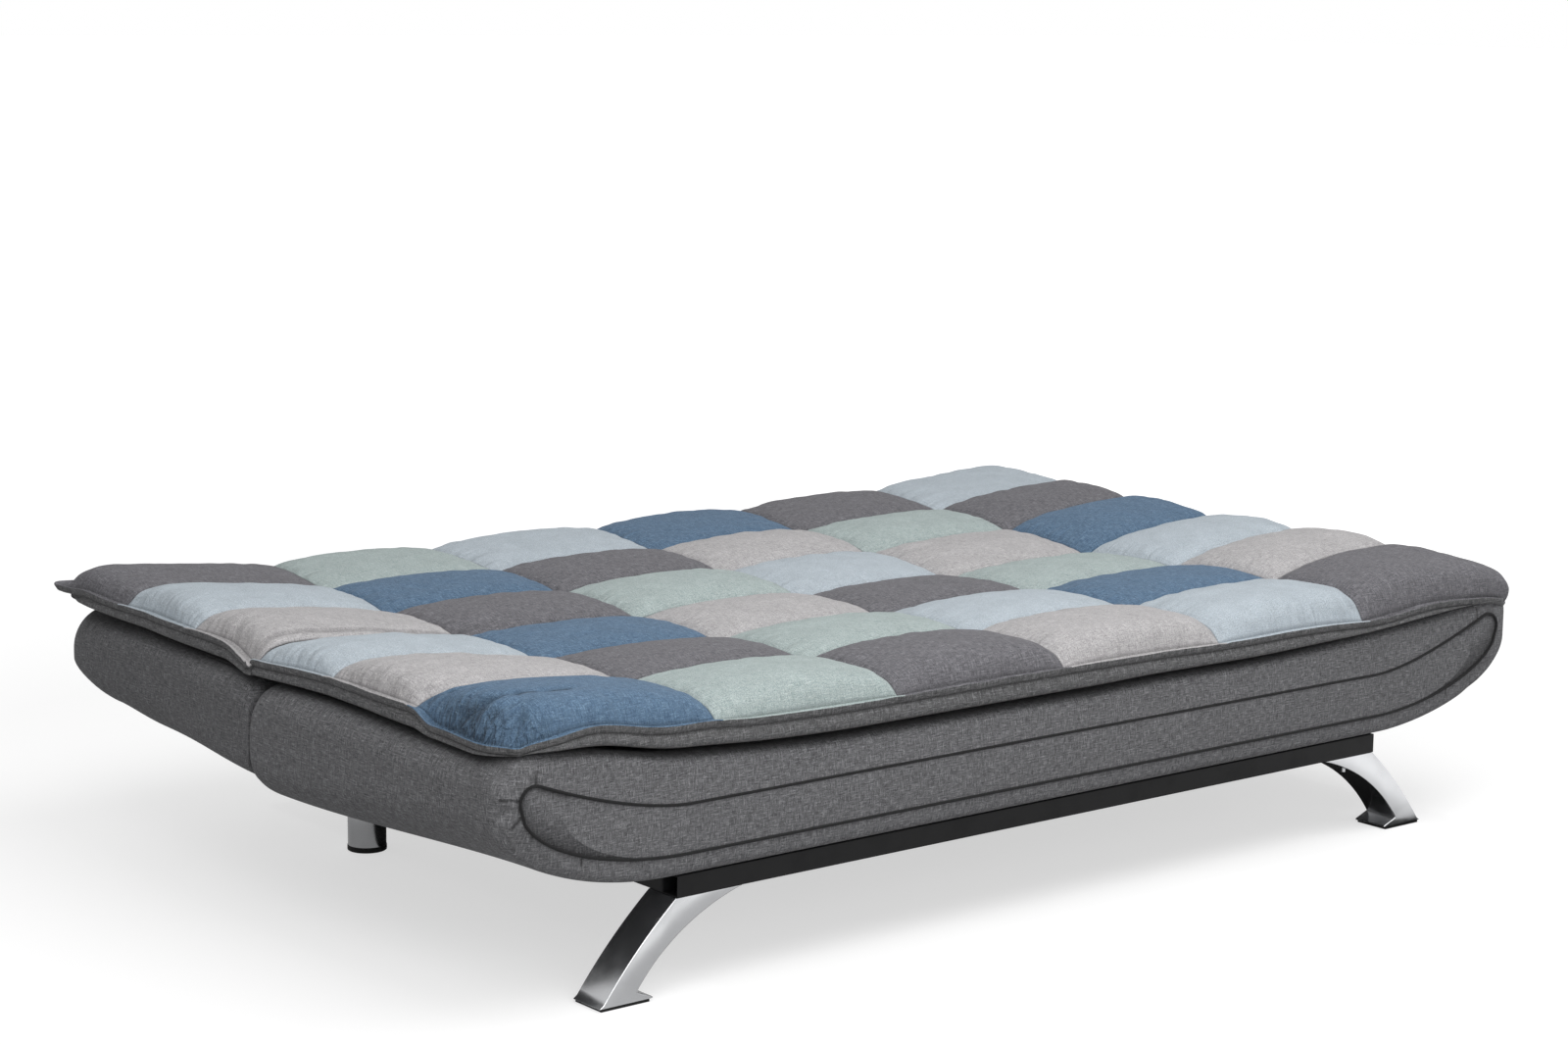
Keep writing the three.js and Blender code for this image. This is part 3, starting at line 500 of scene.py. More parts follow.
RUBBER = metal_material("rubber_black", (16, 16, 16), 0.7, 0.82, 0.0, 0.1, gloss=0.25)

# Helpers for meshes

def grid_mesh(columns, rows):
    """A flat grid and its points by column and row."""
    bm = bmesh.new()
    bmesh.ops.create_grid(bm, x_segments=columns, y_segments=rows, size=1.0)
    table = [[None] * (rows + 1) for _ in range(columns + 1)]
    for vert in bm.verts:
        i = round((vert.co.x + 1) / 2 * columns)
        j = round((vert.co.y + 1) / 2 * rows)
        table[i][j] = vert
    return bm, table


def rim_of(table):
    """The grid's rim as a loop: along the low side, up, back along the high side, down."""
    columns, rows = len(table) - 1, len(table[0]) - 1
    loop = [(i, 0) for i in range(columns + 1)]
    loop += [(columns, j) for j in range(1, rows + 1)]
    loop += [(i, rows) for i in range(columns - 1, -1, -1)]
    loop += [(0, j) for j in range(rows - 1, 0, -1)]
    return loop


def verts_of(geometry):
    """The points among what an operator made."""
    return [g for g in geometry if isinstance(g, bmesh.types.BMVert)]


def edges_along(bm, run):
    """The edges that join a run of points."""
    return [bm.edges.get((a, b)) for a, b in zip(run, run[1:])]


def extrude_ring(bm, ring):
    """Draws a closed ring of points out into a new ring and returns it in the same order."""
    count = len(ring)
    edges = [bm.edges.get((ring[k], ring[(k + 1) % count])) for k in range(count)]
    made = bmesh.ops.extrude_edge_only(bm, edges=edges)["geom"]
    fresh = set(verts_of(made))
    return [
        next(e.other_vert(vert) for e in vert.link_edges if e.other_vert(vert) in fresh)
        for vert in ring
    ]


def close_ring(bm, ring, wide, deep):
    """Closes a ring that began as the rim of a grid of wide by deep points: a strip joins its low
    side to its high side, and the rest is filled."""
    low = ring[:wide]
    high = ring[wide + deep - 2: 2 * wide + deep - 2][::-1]
    edges = edges_along(bm, low) + edges_along(bm, high)
    strip = bmesh.ops.bridge_loops(bm, edges=edges)["faces"]
    rest = bmesh.ops.holes_fill(bm, edges=bm.edges, sides=0)["faces"]
    return list(strip) + list(rest)


def placed(name, data):
    """A new object in the scene."""
    piece = bpy.data.objects.new(name, data)
    bpy.context.scene.collection.objects.link(piece)
    return piece


def object_from(bm, name, materials):
    """Turns a bmesh into a smooth object with its faces pointing outwards."""
    bmesh.ops.recalc_face_normals(bm, faces=bm.faces)
    mesh = bpy.data.meshes.new(name)
    bm.to_mesh(mesh)
    bm.free()
    piece = placed(name, mesh)
    for material in materials:
        mesh.materials.append(material)
    mesh.shade_smooth()
    return piece


def cloth_map(piece):
    """Lays the weave on each face from the side that it looks to, in metres."""
    mesh = piece.data
    layer = mesh.uv_layers.get("cloth") or mesh.uv_layers.new(name="cloth")
    for face in mesh.polygons:
        turn = [abs(c) for c in face.normal]
        main = turn.index(max(turn))
        a, b = [(1, 2), (0, 2), (0, 1)][main]
        for corner in face.loop_indices:
            co = mesh.vertices[mesh.loops[corner].vertex_index].co
            layer.data[corner].uv = (co[a], co[b])


def smooth_surface(piece):
    surface = piece.modifiers.new("smooth", "SUBSURF")
    surface.levels = 1
    surface.render_levels = 1
    surface.boundary_smooth = "PRESERVE_CORNERS"


def press_dents(piece, dents):
    """Presses soft hollows into the cloth. A dent is a place, a depth and a half width in
    millimetres."""
    mesh = piece.data
    points = [(v.co.copy(), v.normal.copy()) for v in mesh.vertices]
    after = []
    for place, normal in points:
        sunk = 0.0
        for middle, depth, half in dents:
            away = (place - Vector(middle) * MM).length / (half * MM)
            if away < 3:
                sunk += depth * MM * math.exp(-away * away)
        after.extend(place - normal * sunk)
    mesh.vertices.foreach_set("co", after)
    mesh.update()


# The quilted pads. The steps of the mesh in each patch, and how far the back pad's top leans
STEPS_WIDE = 46
STEPS_DEEP = 30
LEAN = 4.0

# The fullness of each row of patches, front to rear: its left patch, its middle ones, its right one
CROWN_SHARES = [
    (1.0, 0.98, 0.95),
    (0.9, 0.86, 1.12),
    (0.85, 0.88, 1.25),
    (0.85, 0.92, 1.25),
    (0.85, 0.88, 1.0),
    (0.58, 0.76, 0.75),
]


def full_edge(from_edge, reach):
    """The steep, full rise of a stuffed edge, from none at its lip to one at its reach."""
    left = max(0.0, 1 - from_edge / reach)
    return (1 - left ** 4) ** 0.6


def swell(place, size, from_edge):
    """The swell of a patch in one direction: fuller in the half that ends at a free edge."""
    if from_edge < size / 2:
        return full_edge(from_edge, min(size / 2, 125))
    share = 2 * (place / size - math.floor(place / size)) - 1
    return max(0.0, 1 - share * share) ** 0.5


def pleats(along, near, depth, reach, pitch, turn):
    """Small folds that run in from a sewn edge and fade out within a short reach."""
    if near > reach:
        return 0.0
    wave = noise.noise(Vector((along / pitch, turn, near / (6 * pitch))))
    wave += 0.5 * noise.noise(Vector((along / pitch * 2.1, turn + 7, near / (4 * pitch))))
    return depth * wave * (1 - near / reach) ** 1.5 * ease(0, 1, near / 5)


def end_lip(side, x, distance):
    """The height of the lip along an end of the pads. At the left end it sinks at the fold and
    at both corners."""
    level = END_LIP - END_LIP_DIP * ease(0, 1, distance / PAD_DEPTH)
    if x > 0:
        return level - 24
    if side == BACK:
        return level - 15 * hump(distance, 0, 105) - 8 * ease(0, 1, (distance - 540) / 70)
    dip = 9 * hump(distance, 0, 230)
    return level - dip - 18 * ease(0, 1, (distance - OUTER_SEAM) / 45)


def hem_at(x):
    """How much the hem beside the fold shows: only near the left end."""
    return ease(0, 1, (-560 - x) / 90)


def line_shift(x, y):
    """How far the line between the pad and the body rises or sinks along the front."""
    if y > 0:
        return 0.0
    front = ease(0, 1, (-y - 530) / 60)
    if x > 0:
        return 3 * front * ease(0, 1, (x - 60) / 120) * ease(0, 1, (820 - x) / 120)
    rise = 11 * ease(0, 1, (-x - 700) / 150) * ease(0, 1, (x + 985) / 45)
    return rise * front - 5 * ease(0, 1, (-y - 250) / 150) * (1 - front)


def front_lip(x):
    """The height of the lip along the front, which rises at the left and hangs at the right."""
    level = FRONT_LIP + (15 * hump(x, -850, 72) + 4 * hump(x, -680, 60))
    return level - (14 * hump(x, 695, 140) + 4 * hump(x, 380, 180))


def seam_level(side, x, distance, right_end):
    """The height of the seams, which lie deeper near the fold, but less so at the left end."""
    sunk = 15 + 13 * ease(1, 0, distance / OUTER_SEAM)
    at_left = ease(1, 0, (x + PAD_HALF) / 430)
    level = SEAM_LEVEL + 14 * right_end
    level -= sunk * (1 - (0.85 if side == BACK else 0.5) * at_left)
    if side == BACK:
        level -= 8 * right_end * ease(0, 1, distance / OUTER_SEAM)
    return level


def quilt_level(side, x, distance):
    """The height of the quilted top at x, at a distance from the fold."""
    from_end = PAD_HALF - abs(x)
    from_outer = PAD_DEPTH - distance
    right_end = ease(0, 1, (x - 560) / 300)
    # The surface that the seams lie in, and its fall to the lips
    seam = seam_level(side, x, distance, right_end)
    outer = front_lip(x) if side == SEAT else REAR_LIP
    end_level = end_lip(side, x, distance) - PAD_RISE * dish(PAD_HALF)
    edge_fall = EDGE_FALL if side == SEAT else 1.9 * EDGE_FALL
    end_fall = END_FALL if x < 0 else 0.75 * END_FALL
    in_outer, in_end = full_edge(from_outer, edge_fall), full_edge(from_end, end_fall)
    level = seam
    if from_outer < edge_fall or from_end < end_fall:
        near_outer = outer + (seam - outer) * in_outer
        near_end = end_level + (seam - end_level) * in_end
        level = near_outer + near_end - seam
    level = max(level, min(outer, end_level))
    # What stands above it: the bulge along the seams and the crown of the patch
    along = swell(PAD_HALF + x, CELL_WIDE, from_end)
    across = swell(distance, CELL_DEEP, from_outer)
    full = along * across
    bulge = SEAM_BULGE * (along + across - full) * (in_outer * in_end) * (1 + 0.5 * right_end)
    fullness = CROWN_SHARES[row_from_front(side, int(min(distance, PAD_DEPTH - 1) / CELL_DEEP))]
    column = min(COLUMNS - 1, int((PAD_HALF + x) / CELL_WIDE))
    crown = CROWN * full * fullness[0 if column == 0 else 2 if column == COLUMNS - 1 else 1]
    crown *= 1 - 0.2 * right_end
    root = 4 * hump(min(from_end, from_outer), 0, 12)
    lean, hem = 0.0, 0.0
    if side == BACK:
        lean = LEAN * (x / PAD_HALF) * ease(0, 1, distance / 300)
        hem = 3.5 * hump(distance, HEM, 5) * hem_at(x)
    return level + PAD_RISE * dish(x) + bulge * (1 - full) + crown - root - hem + lean


def seam_drift(side, x, distance):
    """Shifts a place where the stuffing has pulled the seams off their straight lines."""
    if side == BACK:
        inside = ease(0, 1, (x + PAD_HALF) / 260)
        rear = hump(distance, 600, 100) * ease(0, 1, (PAD_HALF - abs(x)) / 240)
        x += 20 * rear * (1 - hump(x, -327, 110))
        distance += (9 - 33 * inside) * hump(distance, 400, 150)
    else:
        pull = 26 * hump(x, 640, 140) + 12 * hump(x, 327, 120)
        drift = 33 * ease(1, 0, (x + 900) / 170) * hump(distance, 208, 95)
        drift += 20 * ease(1, 0, (x + PAD_HALF) / 60) * hump(distance, OUTER_SEAM, 80)
        x += pull * hump(distance, 440, 220)
        distance -= drift
    return x, distance


def nose(side, x, distance):
    """How far the stuffing hangs over its edge at the front right corner."""
    if side == BACK or x < 0:
        return 0.0
    away = math.hypot(PAD_HALF - x, PAD_DEPTH - distance)
    return 30 * hump(away, 0, 80)


# Loose folds of the front left patch: points by place along the bed and distance from the
# fold, then a depth and a half width
LOOSE_FOLDS = [
    ([(-976, 492), (-955, 530), (-925, 550), (-885, 556), (-845, 557)], 5.0, 6.0),
    ([(-978, 505), (-962, 530), (-948, 545)], 3.5, 5.0),
    ([(-978, 545), (-965, 566), (-950, 578)], 3.5, 5.0),
    ([(-976, 430), (-950, 446), (-920, 450)], 4.0, 5.0),
    ([(-975, 580), (-960, 594)], 3.5, 5.0),
]


def fold_height(side, x, distance):
    """Folds and gathers of the patches: small ones along every seam, and the loose ones at the
    front left end."""
    from_end = PAD_HALF - abs(x)
    from_outer = PAD_DEPTH - distance
    hand = 3.3 if side == SEAT else 41.3
    folds = pleats(distance, from_seam(PAD_HALF + x, CELL_WIDE), 2.8, 70, 22, hand)
    folds += pleats(x, from_seam(distance, CELL_DEEP), 2.8, 60, 24, hand + 11)
    folds += pleats(distance, from_end, 3.4, 75, 20, hand + 23)
    folds += pleats(x, from_outer, 2.6, 60, 24, hand + 31)
    if side == SEAT and x < 0:
        folds += hump(distance, 545, 85) * pleats(distance, from_end, 9.0, 90, 15, 77.4)
        for points, depth, width in LOOSE_FOLDS:
            here = Vector((x, distance))
            for a, b in zip(points, points[1:]):
                run = Vector(b) - Vector(a)
                share = clamp((here - Vector(a)).dot(run) / run.length_squared)
                away = (here - Vector(a) - run * share).length / width
                if away < 3:
                    folds -= depth * math.exp(-away * away)
    return folds * ease(0, 1, min(from_end, from_outer) / 9)


def gathered(side, x, distance):
    """How tightly the cloth is gathered by the seam of the lip: most at the front left corner."""
    from_end = PAD_HALF - abs(x)
    from_outer = PAD_DEPTH - distance
    little = 0.05 * hump(min(from_end, from_outer), 0, 22)
    if side == BACK or x > 0:
        return little
    at_end = hump(from_end, 0, 17) * hump(distance, 530, 65)
    at_front = 0.4 * hump(from_outer, 0, 12) * hump(x, -950, 45)
    return max(little, at_end, at_front)


def crowd(count, cells, size):
    """Places over a run of cells, crowded towards the seams."""
    places = []
    for k in range(count * cells + 1):
        cell = math.floor(k / count)
        within = k / count - cell
        drawn = 0.3 * math.sin(2 * math.pi * within) / (2 * math.pi)
        places.append(size * (cell + within - drawn))
    return places


def quilt_places():
    """Where the points of a pad's top lie along the bed, and their distances from the fold."""
    across = [p - PAD_HALF for p in crowd(STEPS_WIDE, COLUMNS, CELL_WIDE)]
    return across, crowd(STEPS_DEEP, ROWS, CELL_DEEP)


# The rim of a pad: rings of points over the flange and down the band. Each one has how far it
# stands out from the pad's edge, and on the flange its height above the root, or on the band its
# share of the way down to the body. The top's edge lies inset, and the first rings have the cloth
# of the patches.
INSET = 13.0
FLANGE = [(-9, 0.2), (-5.2, 1.6), (-2.6, 3.8), (-1.0, 5.4), (0.3, 5.8),
          (1.2, 4.8), (0.9, 1.6), (0.3, -1.8), (-0.9, -4.6), (-3.4, -6.0)]
BAND = [(-3.4, 0.1), (-0.8, 0.2), (0.8, 0.34), (1.0, 0.48),
        (-0.4, 0.6), (-4, 0.67), (-12, 0.71), (-30, 0.75), (-42, 1.0)]
TOP_RINGS = 6

# How each outer corner of the pads is rounded, drawn out and hung, in plan and in height
CORNERS = {
    (SEAT, -1): (68.0, 4.0, 0.0),
    (SEAT, 1): (34.0, 7.0, -25.0),
    (BACK, -1): (6.0, 11.0, 7.0),
    (BACK, 1): (40.0, 10.0, 2.0),
}


def corner_shape(side, x, distance):
    """Moves a place near an outer corner in plan, and says how far it hangs or lifts."""
    radius, draw, hang = CORNERS[(side, 1 if x > 0 else -1)]
    dx = abs(x) - (PAD_HALF - radius)
    dd = distance - (PAD_DEPTH - radius)
    if dx > 0 and dd > 0:
        scale = max(dx, dd) / math.hypot(dx, dd)
        x = math.copysign(PAD_HALF - radius + dx * scale, x)
        distance = PAD_DEPTH - radius + dd * scale
    away = math.hypot(PAD_HALF - abs(x), PAD_DEPTH - distance)
    pull = draw * hump(away, 0, 95)
    x += math.copysign(pull * 0.9, x)
    distance += pull * 0.25
    return x, distance, hang * hump(away, 0, 115)


def end_reach(side, x, distance):
    """How far the ends of the pads stand out beyond their cut size, most of all at the fold."""
    near = ease(0, 1, 1 - (PAD_HALF - abs(x)) / 180)
    wave = 5 * math.sin(distance / PAD_DEPTH * 7.5 + (0.6 if side == SEAT else 2.1))
    if x < 0:
        wave += 15 * hump(distance, 0, 70)
    else:
        wave += 12 + (33 if side == SEAT else 8) * (distance / PAD_DEPTH) ** 2
    return near * wave


def lay_top(side, table, across, deep):
    """Moves the points of the grid to a pad's top. Returns each point's home: its column, its
    row, its place in plan and its height."""
    squeeze = (PAD_HALF - INSET) / PAD_HALF
    shorten = (PAD_DEPTH - INSET) / PAD_DEPTH
    homes = {}
    for i, x in enumerate(across):
        for j, d in enumerate(deep):
            px, pd, hang = corner_shape(side, x, d)
            level = quilt_level(side, x, d) + hang
            px, pd = seam_drift(side, px, pd)
            px, pd = px * squeeze, pd * shorten
            over = nose(side, x, d) * ease(0, 1, min(PAD_HALF - abs(x), PAD_DEPTH - d) / 8)
            px, pd = px + 0.95 * over, pd + 0.3 * over
            px += math.copysign(end_reach(side, x, d), x) if x else 0
            y = side * max(0.4, pd)
            table[i][j].co = at(px, y, level + climb(side, y))
            homes[table[i][j]] = (i, j, px, pd, level)
    return homes


def lay_patches(bm, patch, side, homes, across, deep):
    """Gives each face of the top the cloth of its patch, and its place on that patch."""
    for face in bm.faces:
        cells = [homes[v][:2] for v in face.verts]
        column = int(sum(c[0] for c in cells) / len(cells) / STEPS_WIDE)
        row = int(sum(c[1] for c in cells) / len(cells) / STEPS_DEEP)
        shade = PATCHES[row_from_front(side, row)][column]
        face.material_index = list(PATCH_CLOTH).index(shade)
        for loop in face.loops:
            i, j = homes[loop.vert][:2]
            u = across[i] + PAD_HALF - column * CELL_WIDE
            v = deep[j] - row * CELL_DEEP
            loop[patch].uv = (u * MM, v * MM)


def rim_directions(rim, flat):
    """The way out, in plan, at each point of a pad's rim. The side at the fold has none, but for
    its two corners."""
    outs = []
    for k, (i, j) in enumerate(rim):
        run = flat[(k + 1) % len(rim)] - flat[k - 1]
        if j > 0:
            out = Vector((run.y, -run.x)).normalized()
            outs.append(-out if out.dot(flat[k] - Vector((0, 300))) < 0 else out)
        elif i in (0, STEPS_WIDE * COLUMNS):
            outs.append(Vector((math.copysign(1, flat[k].x), 0)))
        else:
            outs.append(Vector((0, 0)))
    return outs


def rim_place(side, home, x, distance, away, k, step):
    """The place of a point on ring k of a pad's rim, below the point of the top at its home."""
    i, j, px, pd, level = home
    out, up, share = step
    reach = INSET + out
    if up is not None and 1 < k < 7:
        # Small tabs stand out where the seams meet the flange
        at_end = i in (0, STEPS_WIDE * COLUMNS)
        joint = from_seam(distance, CELL_DEEP) if at_end else from_seam(PAD_HALF + x, CELL_WIDE)
        reach += 3.5 * hump(joint, 0, 7)
    reach -= 0.3 * nose(side, x, distance)
    if up is None and side == BACK and px < 0:
        reach -= 26 * hump(math.hypot(PAD_HALF + px, PAD_DEPTH - pd), 0, 60)
    x = px + away.x * reach
    d = pd + away.y * reach
    low = PAD_BOTTOM + dish(px) + line_shift(px, side * pd) + 0.4
    if up is None:
        start = level + FLANGE[-1][1]
        z = start - share * (start - low)
    elif j == 0:
        z = level - 0.9 * k
    else:
        z = level + up + 0.9 * noise.noise(Vector((px * 0.022, pd * 0.022, 5.0 * side)))
    if j == 0:
        # The side at the fold is arched over the hinges and the frame
        arch = ease(0, 1, (735 - abs(x)) / 30)
        z = max(z, low + arch * (349 - low)) if abs(x) < 770 else z
        d = 0.4 + (2.2 * share * (1 - arch) if share else 0)
    y = side * max(0.4, d)
    return at(x, y, z + climb(side, y))


def dress_ring(bm, patch, rim, before, ring, in_patches):
    """Gives the faces between two rings the cloth of the patch above them, or the band's."""
    for a in range(len(ring)):
        b = (a + 1) % len(ring)
        face = bm.edges.get((ring[a], ring[b])).link_faces[0]
        top = next(f for f in bm.edges.get((before[a], before[b])).link_faces if f is not face)
        away_from_fold = rim[a][1] > 0 or rim[b][1] > 0
        face.material_index = len(PATCH_CLOTH)
        if in_patches and away_from_fold:
            face.material_index = top.material_index
        for loop in face.loops:
            loop[patch].uv = (0.1, 0.1)


def mark_quilt(piece, side, across, deep, rim_count):
    """Weighs how firmly each point is sewn down, and marks the cloth where it is gathered. It
    paints shade into the hem beside the fold, the flange's root and crease, and the band's
    underside."""
    wide = len(across)
    inside = wide * len(deep)
    total = len(piece.data.vertices)
    painted_shade_marks, drawn = [0.0] * total, [0.0] * total
    sewn = piece.vertex_groups.new(name="sewn")
    sewn.add(range(total), 1.0, "REPLACE")
    for j, d in enumerate(deep):
        for i, x in enumerate(across):
            near = min(from_seam(x + PAD_HALF, CELL_WIDE), from_seam(d, CELL_DEEP))
            sewn.add([j * wide + i], 1.0 - ease(0, 1, (near - 3) / 10), "REPLACE")
            drawn[j * wide + i] = gathered(side, x, d)
            # Painted shade along the hem beside the fold
            if side == BACK and abs(d - HEM) < 4:
                painted_shade_marks[j * wide + i] = 0.4 * hem_at(x)
    crease = inside + rim_count * (len(FLANGE) - 1)
    under = inside + rim_count * (len(FLANGE) + len(BAND) - 4)
    # Painted shade: the flange's crease, its root, and the underside of the band
    for first, rings, value in ((crease, 1, 0.7), (inside, 1, 0.3), (under, 4, 0.9)):
        for index in range(first, first + rings * rim_count):
            painted_shade_marks[index] = value
    for name, values in (("painted_shade", painted_shade_marks), ("gathers", drawn)):
        layer = piece.data.attributes.new(name, "FLOAT", "POINT")
        layer.data.foreach_set("value", values)


def make_quilt(name, side):
    """A pad: its quilted top as a grid, its rim as rings drawn out of it, and its underside."""
    across, deep = quilt_places()
    bm, table = grid_mesh(len(across) - 1, len(deep) - 1)
    patch = bm.loops.layers.uv.new("patch")
    homes = lay_top(side, table, across, deep)
    lay_patches(bm, patch, side, homes, across, deep)
    rim = rim_of(table)
    roots = [homes[table[i][j]] for i, j in rim]
    outs = rim_directions(rim, [Vector(root[2:4]) for root in roots])
    ring = [table[i][j] for i, j in rim]
    steps = [(out, up, None) for out, up in FLANGE] + [(out, None, share) for out, share in BAND]
    for k, step in enumerate(steps):
        before, ring = ring, extrude_ring(bm, ring)
        for vert, (i, j), root, away in zip(ring, rim, roots, outs):
            vert.co = rim_place(side, root, across[i], deep[j], away, k, step)
        dress_ring(bm, patch, rim, before, ring, k < TOP_RINGS)
    for face in close_ring(bm, ring, len(across), len(deep)):
        face.material_index = len(PATCH_CLOTH)
    piece = object_from(bm, name, list(PATCH_CLOTH.values()) + [BAND_CLOTH])
    mark_quilt(piece, side, across, deep, len(rim))
    return piece


def press_folds(piece, side):
    """Moves the places of the quilted top by the height of their folds, and paints shade into the
    deeper valleys.
    """
    mesh = piece.data
    across, deep = quilt_places()
    after = [c for v in mesh.vertices for c in v.co]
    normals = [c for v in mesh.vertices for c in v.normal]
    dark = [d.value for d in mesh.attributes["painted_shade"].data]
    for j, d in enumerate(deep):
        for i, x in enumerate(across):
            height = fold_height(side, x, d)
            place = j * len(across) + i
            for axis in range(3 * place, 3 * place + 3):
                after[axis] += normals[axis] * height * MM
            # Painted shade in the fold valleys
            dark[place] = max(dark[place], 0.6 * clamp((-height - 1.3) / 4))
    mesh.attributes["painted_shade"].data.foreach_set("value", dark)
    mesh.vertices.foreach_set("co", after)
    mesh.update()


# The steps of the cloth simulation that fills the wadding
WADDING_STEPS = 20


def inflate(piece, force, slack, cap, seed_turn):
    """Blows the cloth between its seams out like filled wadding, within a cap. A first uneven
    shift lets it crease by chance."""
    mesh = piece.data
    start = [v.co.copy() for v in mesh.vertices]
    group = piece.vertex_groups["sewn"].index
    held = [next((g.weight for g in v.groups if g.group == group), 1.0) for v in mesh.vertices]
    uneven = []
    for place, weight in zip(start, held):
        shift = noise.noise_vector(place * 38 + Vector((seed_turn, 0, 0)))
        uneven.extend(place + shift * 0.0016 * (1 - weight))
    mesh.vertices.foreach_set("co", uneven)
    mesh.update()
    cloth = piece.modifiers.new("wadding", "CLOTH")
    settings = cloth.settings
    settings.quality = 6
    settings.mass = 0.25
    settings.tension_stiffness = 18
    settings.compression_stiffness = 12
    settings.shear_stiffness = 6
    settings.bending_stiffness = 0.08
    settings.use_pressure = True
    settings.uniform_pressure_force = force
    settings.shrink_min = -slack
    settings.vertex_group_mass = "sewn"
    settings.effector_weights.gravity = 0
    cloth.collision_settings.use_collision = False
    cloth.point_cache.frame_start = 1
    cloth.point_cache.frame_end = WADDING_STEPS
    scene = bpy.context.scene
    for step in range(1, WADDING_STEPS + 1):
        scene.frame_set(step)
    graph = bpy.context.evaluated_depsgraph_get()
    blown = piece.evaluated_get(graph).data
    ends = [v.co.copy() for v in blown.vertices]
    piece.modifiers.remove(cloth)
    scene.frame_set(1)
    after = []
    for a, b in zip(start, ends):
        move = b - a
        if move.length > cap:
            move = move * (cap / move.length)
        after.extend(a + move)
    mesh.vertices.foreach_set("co", after)
    mesh.update()


def finish_quilt(piece, side, node):
    """Fills a pad and lets it stand for the CAD's."""
    seed_turn = 1.3 if side == BACK else 5.1
    inflate(piece, force=3.0, slack=0.07, cap=0.010, seed_turn=seed_turn)
    press_folds(piece, side)
    cloth_map(piece)
    smooth_surface(piece)
    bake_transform(piece)
    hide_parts(node)


seat_quilt = make_quilt("seat_quilt", SEAT)
finish_quilt(seat_quilt, SEAT, "seat_pad")
back_quilt = make_quilt("back_quilt", BACK)
finish_quilt(back_quilt, BACK, "back_pad")

# The upholstered bodies


def seat_section(y, hand):
    """The sizes of the seat body's section at y, for its left or right half."""
    share = 1 + y / SEAT_FRONT
    tuck = 34 * quarter(clamp((-y - (SEAT_FRONT - 34)) / 34))
    trim = 16 * quarter(clamp((-y - (SEAT_FRONT - 16)) / 16))
    return {
        "bottom": SEAT_BOTTOM + trim,
        "flat": ease(716, 820, share),
        "half": (ease(1030, 1002, share) if hand > 0 else ease(992, 1003, share)) - tuck,
        "sweep": ease(290, 245, share) + trim * 0.5,
        "trim": trim,
        "bow": 1.7 if hand > 0 else 2.0,
        "crown": 34.0 if hand > 0 else 44.0,
    }


def back_section(y, hand):
    """The sizes of the back body's section at y. Both of its halves are alike."""
    curve = quarter(clamp((y - BACK_REACH + 115) / 115))
    corner = quarter(clamp((y - BACK_REACH + 44) / 44))
    bottom = BACK_BOTTOM + 88 * curve + 10 * ease(0, 1, (y - 360) / 130)
    return {
        "bottom": bottom,
        "flat": ease(878, 895, y / 500) - 10 * curve,
        "half": ease(1003, 984, y / 400) - 12 * curve - 30 * corner,
        "sweep": max(ease(245, 278, y / 400), bottom + 30 * curve),
        "trim": 8 * corner,
        "bow": 2.0,
        "crown": ease(40, 70, (y - 350) / 240),
    }


def low_edge(section, x):
    """The underside of a body: level in the middle and swept up towards its ends."""
    flat = min(section["flat"], section["half"] - 1)
    if abs(x) <= flat:
        return section["bottom"]
    share = min(1.0, (abs(x) - flat) / (section["half"] - flat)) ** section["bow"]
    return section["sweep"] - (section["sweep"] - section["bottom"]) * math.sqrt(1 - share)


def top_edge(section, x, y):
    """The top of a body, rounded over at its ends and cut back over the fold."""
    from_end = section["half"] - abs(x)
    crown = section["crown"]
    fall = crown * quarter(clamp(1 - from_end / crown))
    over_fold = AXIS + 1.2 * abs(y) - 4
    top = BODY_TOP + dish(x) + line_shift(x, y)
    return min(top, over_fold) - fall - section["trim"]


def body_columns(flat, half):
    """Shares of a body's half width: even in the middle and crowded towards the end."""
    places = [flat * k / 40 for k in range(40)]
    places += [flat + (half - flat) * math.sin(math.pi / 2 * k / 40) for k in range(41)]
    return [-p for p in places[:0:-1]] + places


# The steps of the mesh up a body's side
BODY_ROWS = 22


def section_point(section, x_share, row, y, flat, half):
    """A point of a body's face: x_share is a place between -half and half of the first face."""
    side = math.copysign(1, x_share)
    place = abs(x_share)
    if place <= flat:
        x = section["flat"] * place / flat
    else:
        x = section["flat"] + (section["half"] - section["flat"]) * (place - flat) / (half - flat)
    x = min(x, section["half"]) * side
    low = low_edge(section, x)
    high = max(top_edge(section, x, y), low + 4)
    return Vector((x, y, low + (high - low) * row / BODY_ROWS))


# Where the pawls stand along the bed, and the half width and the depth of the hollow in the back
# that they swing in
PAWL_PLACE = 698.1
PAWL_ROOM = 34.0
PAWL_DEEP = 2.8


def fit_underside(side, point, y):
    """Moves a point of a body's underside clear of the metal and the dust cloth."""
    if side == SEAT:
        # The dust cloth lies in a shallow hollow of the seat
        inside = ease(0, 1, (690 - abs(point.x)) / 6) * ease(0, 1, (-12 - y) / 6)
        inside *= ease(0, 1, (y + 546) / 6)
        point.z += 4.5 * inside
    else:
        # The back's underside is let out over the tubes of its frame
        over_tubes = ease(0, 1, (756 - abs(point.x)) / 20) * ease(0, 1, (548 - y) / 28)
        tube = 201.2 + 0.0243 * (y - 40)
        point.z += min(0.0, tube - point.z) * over_tubes


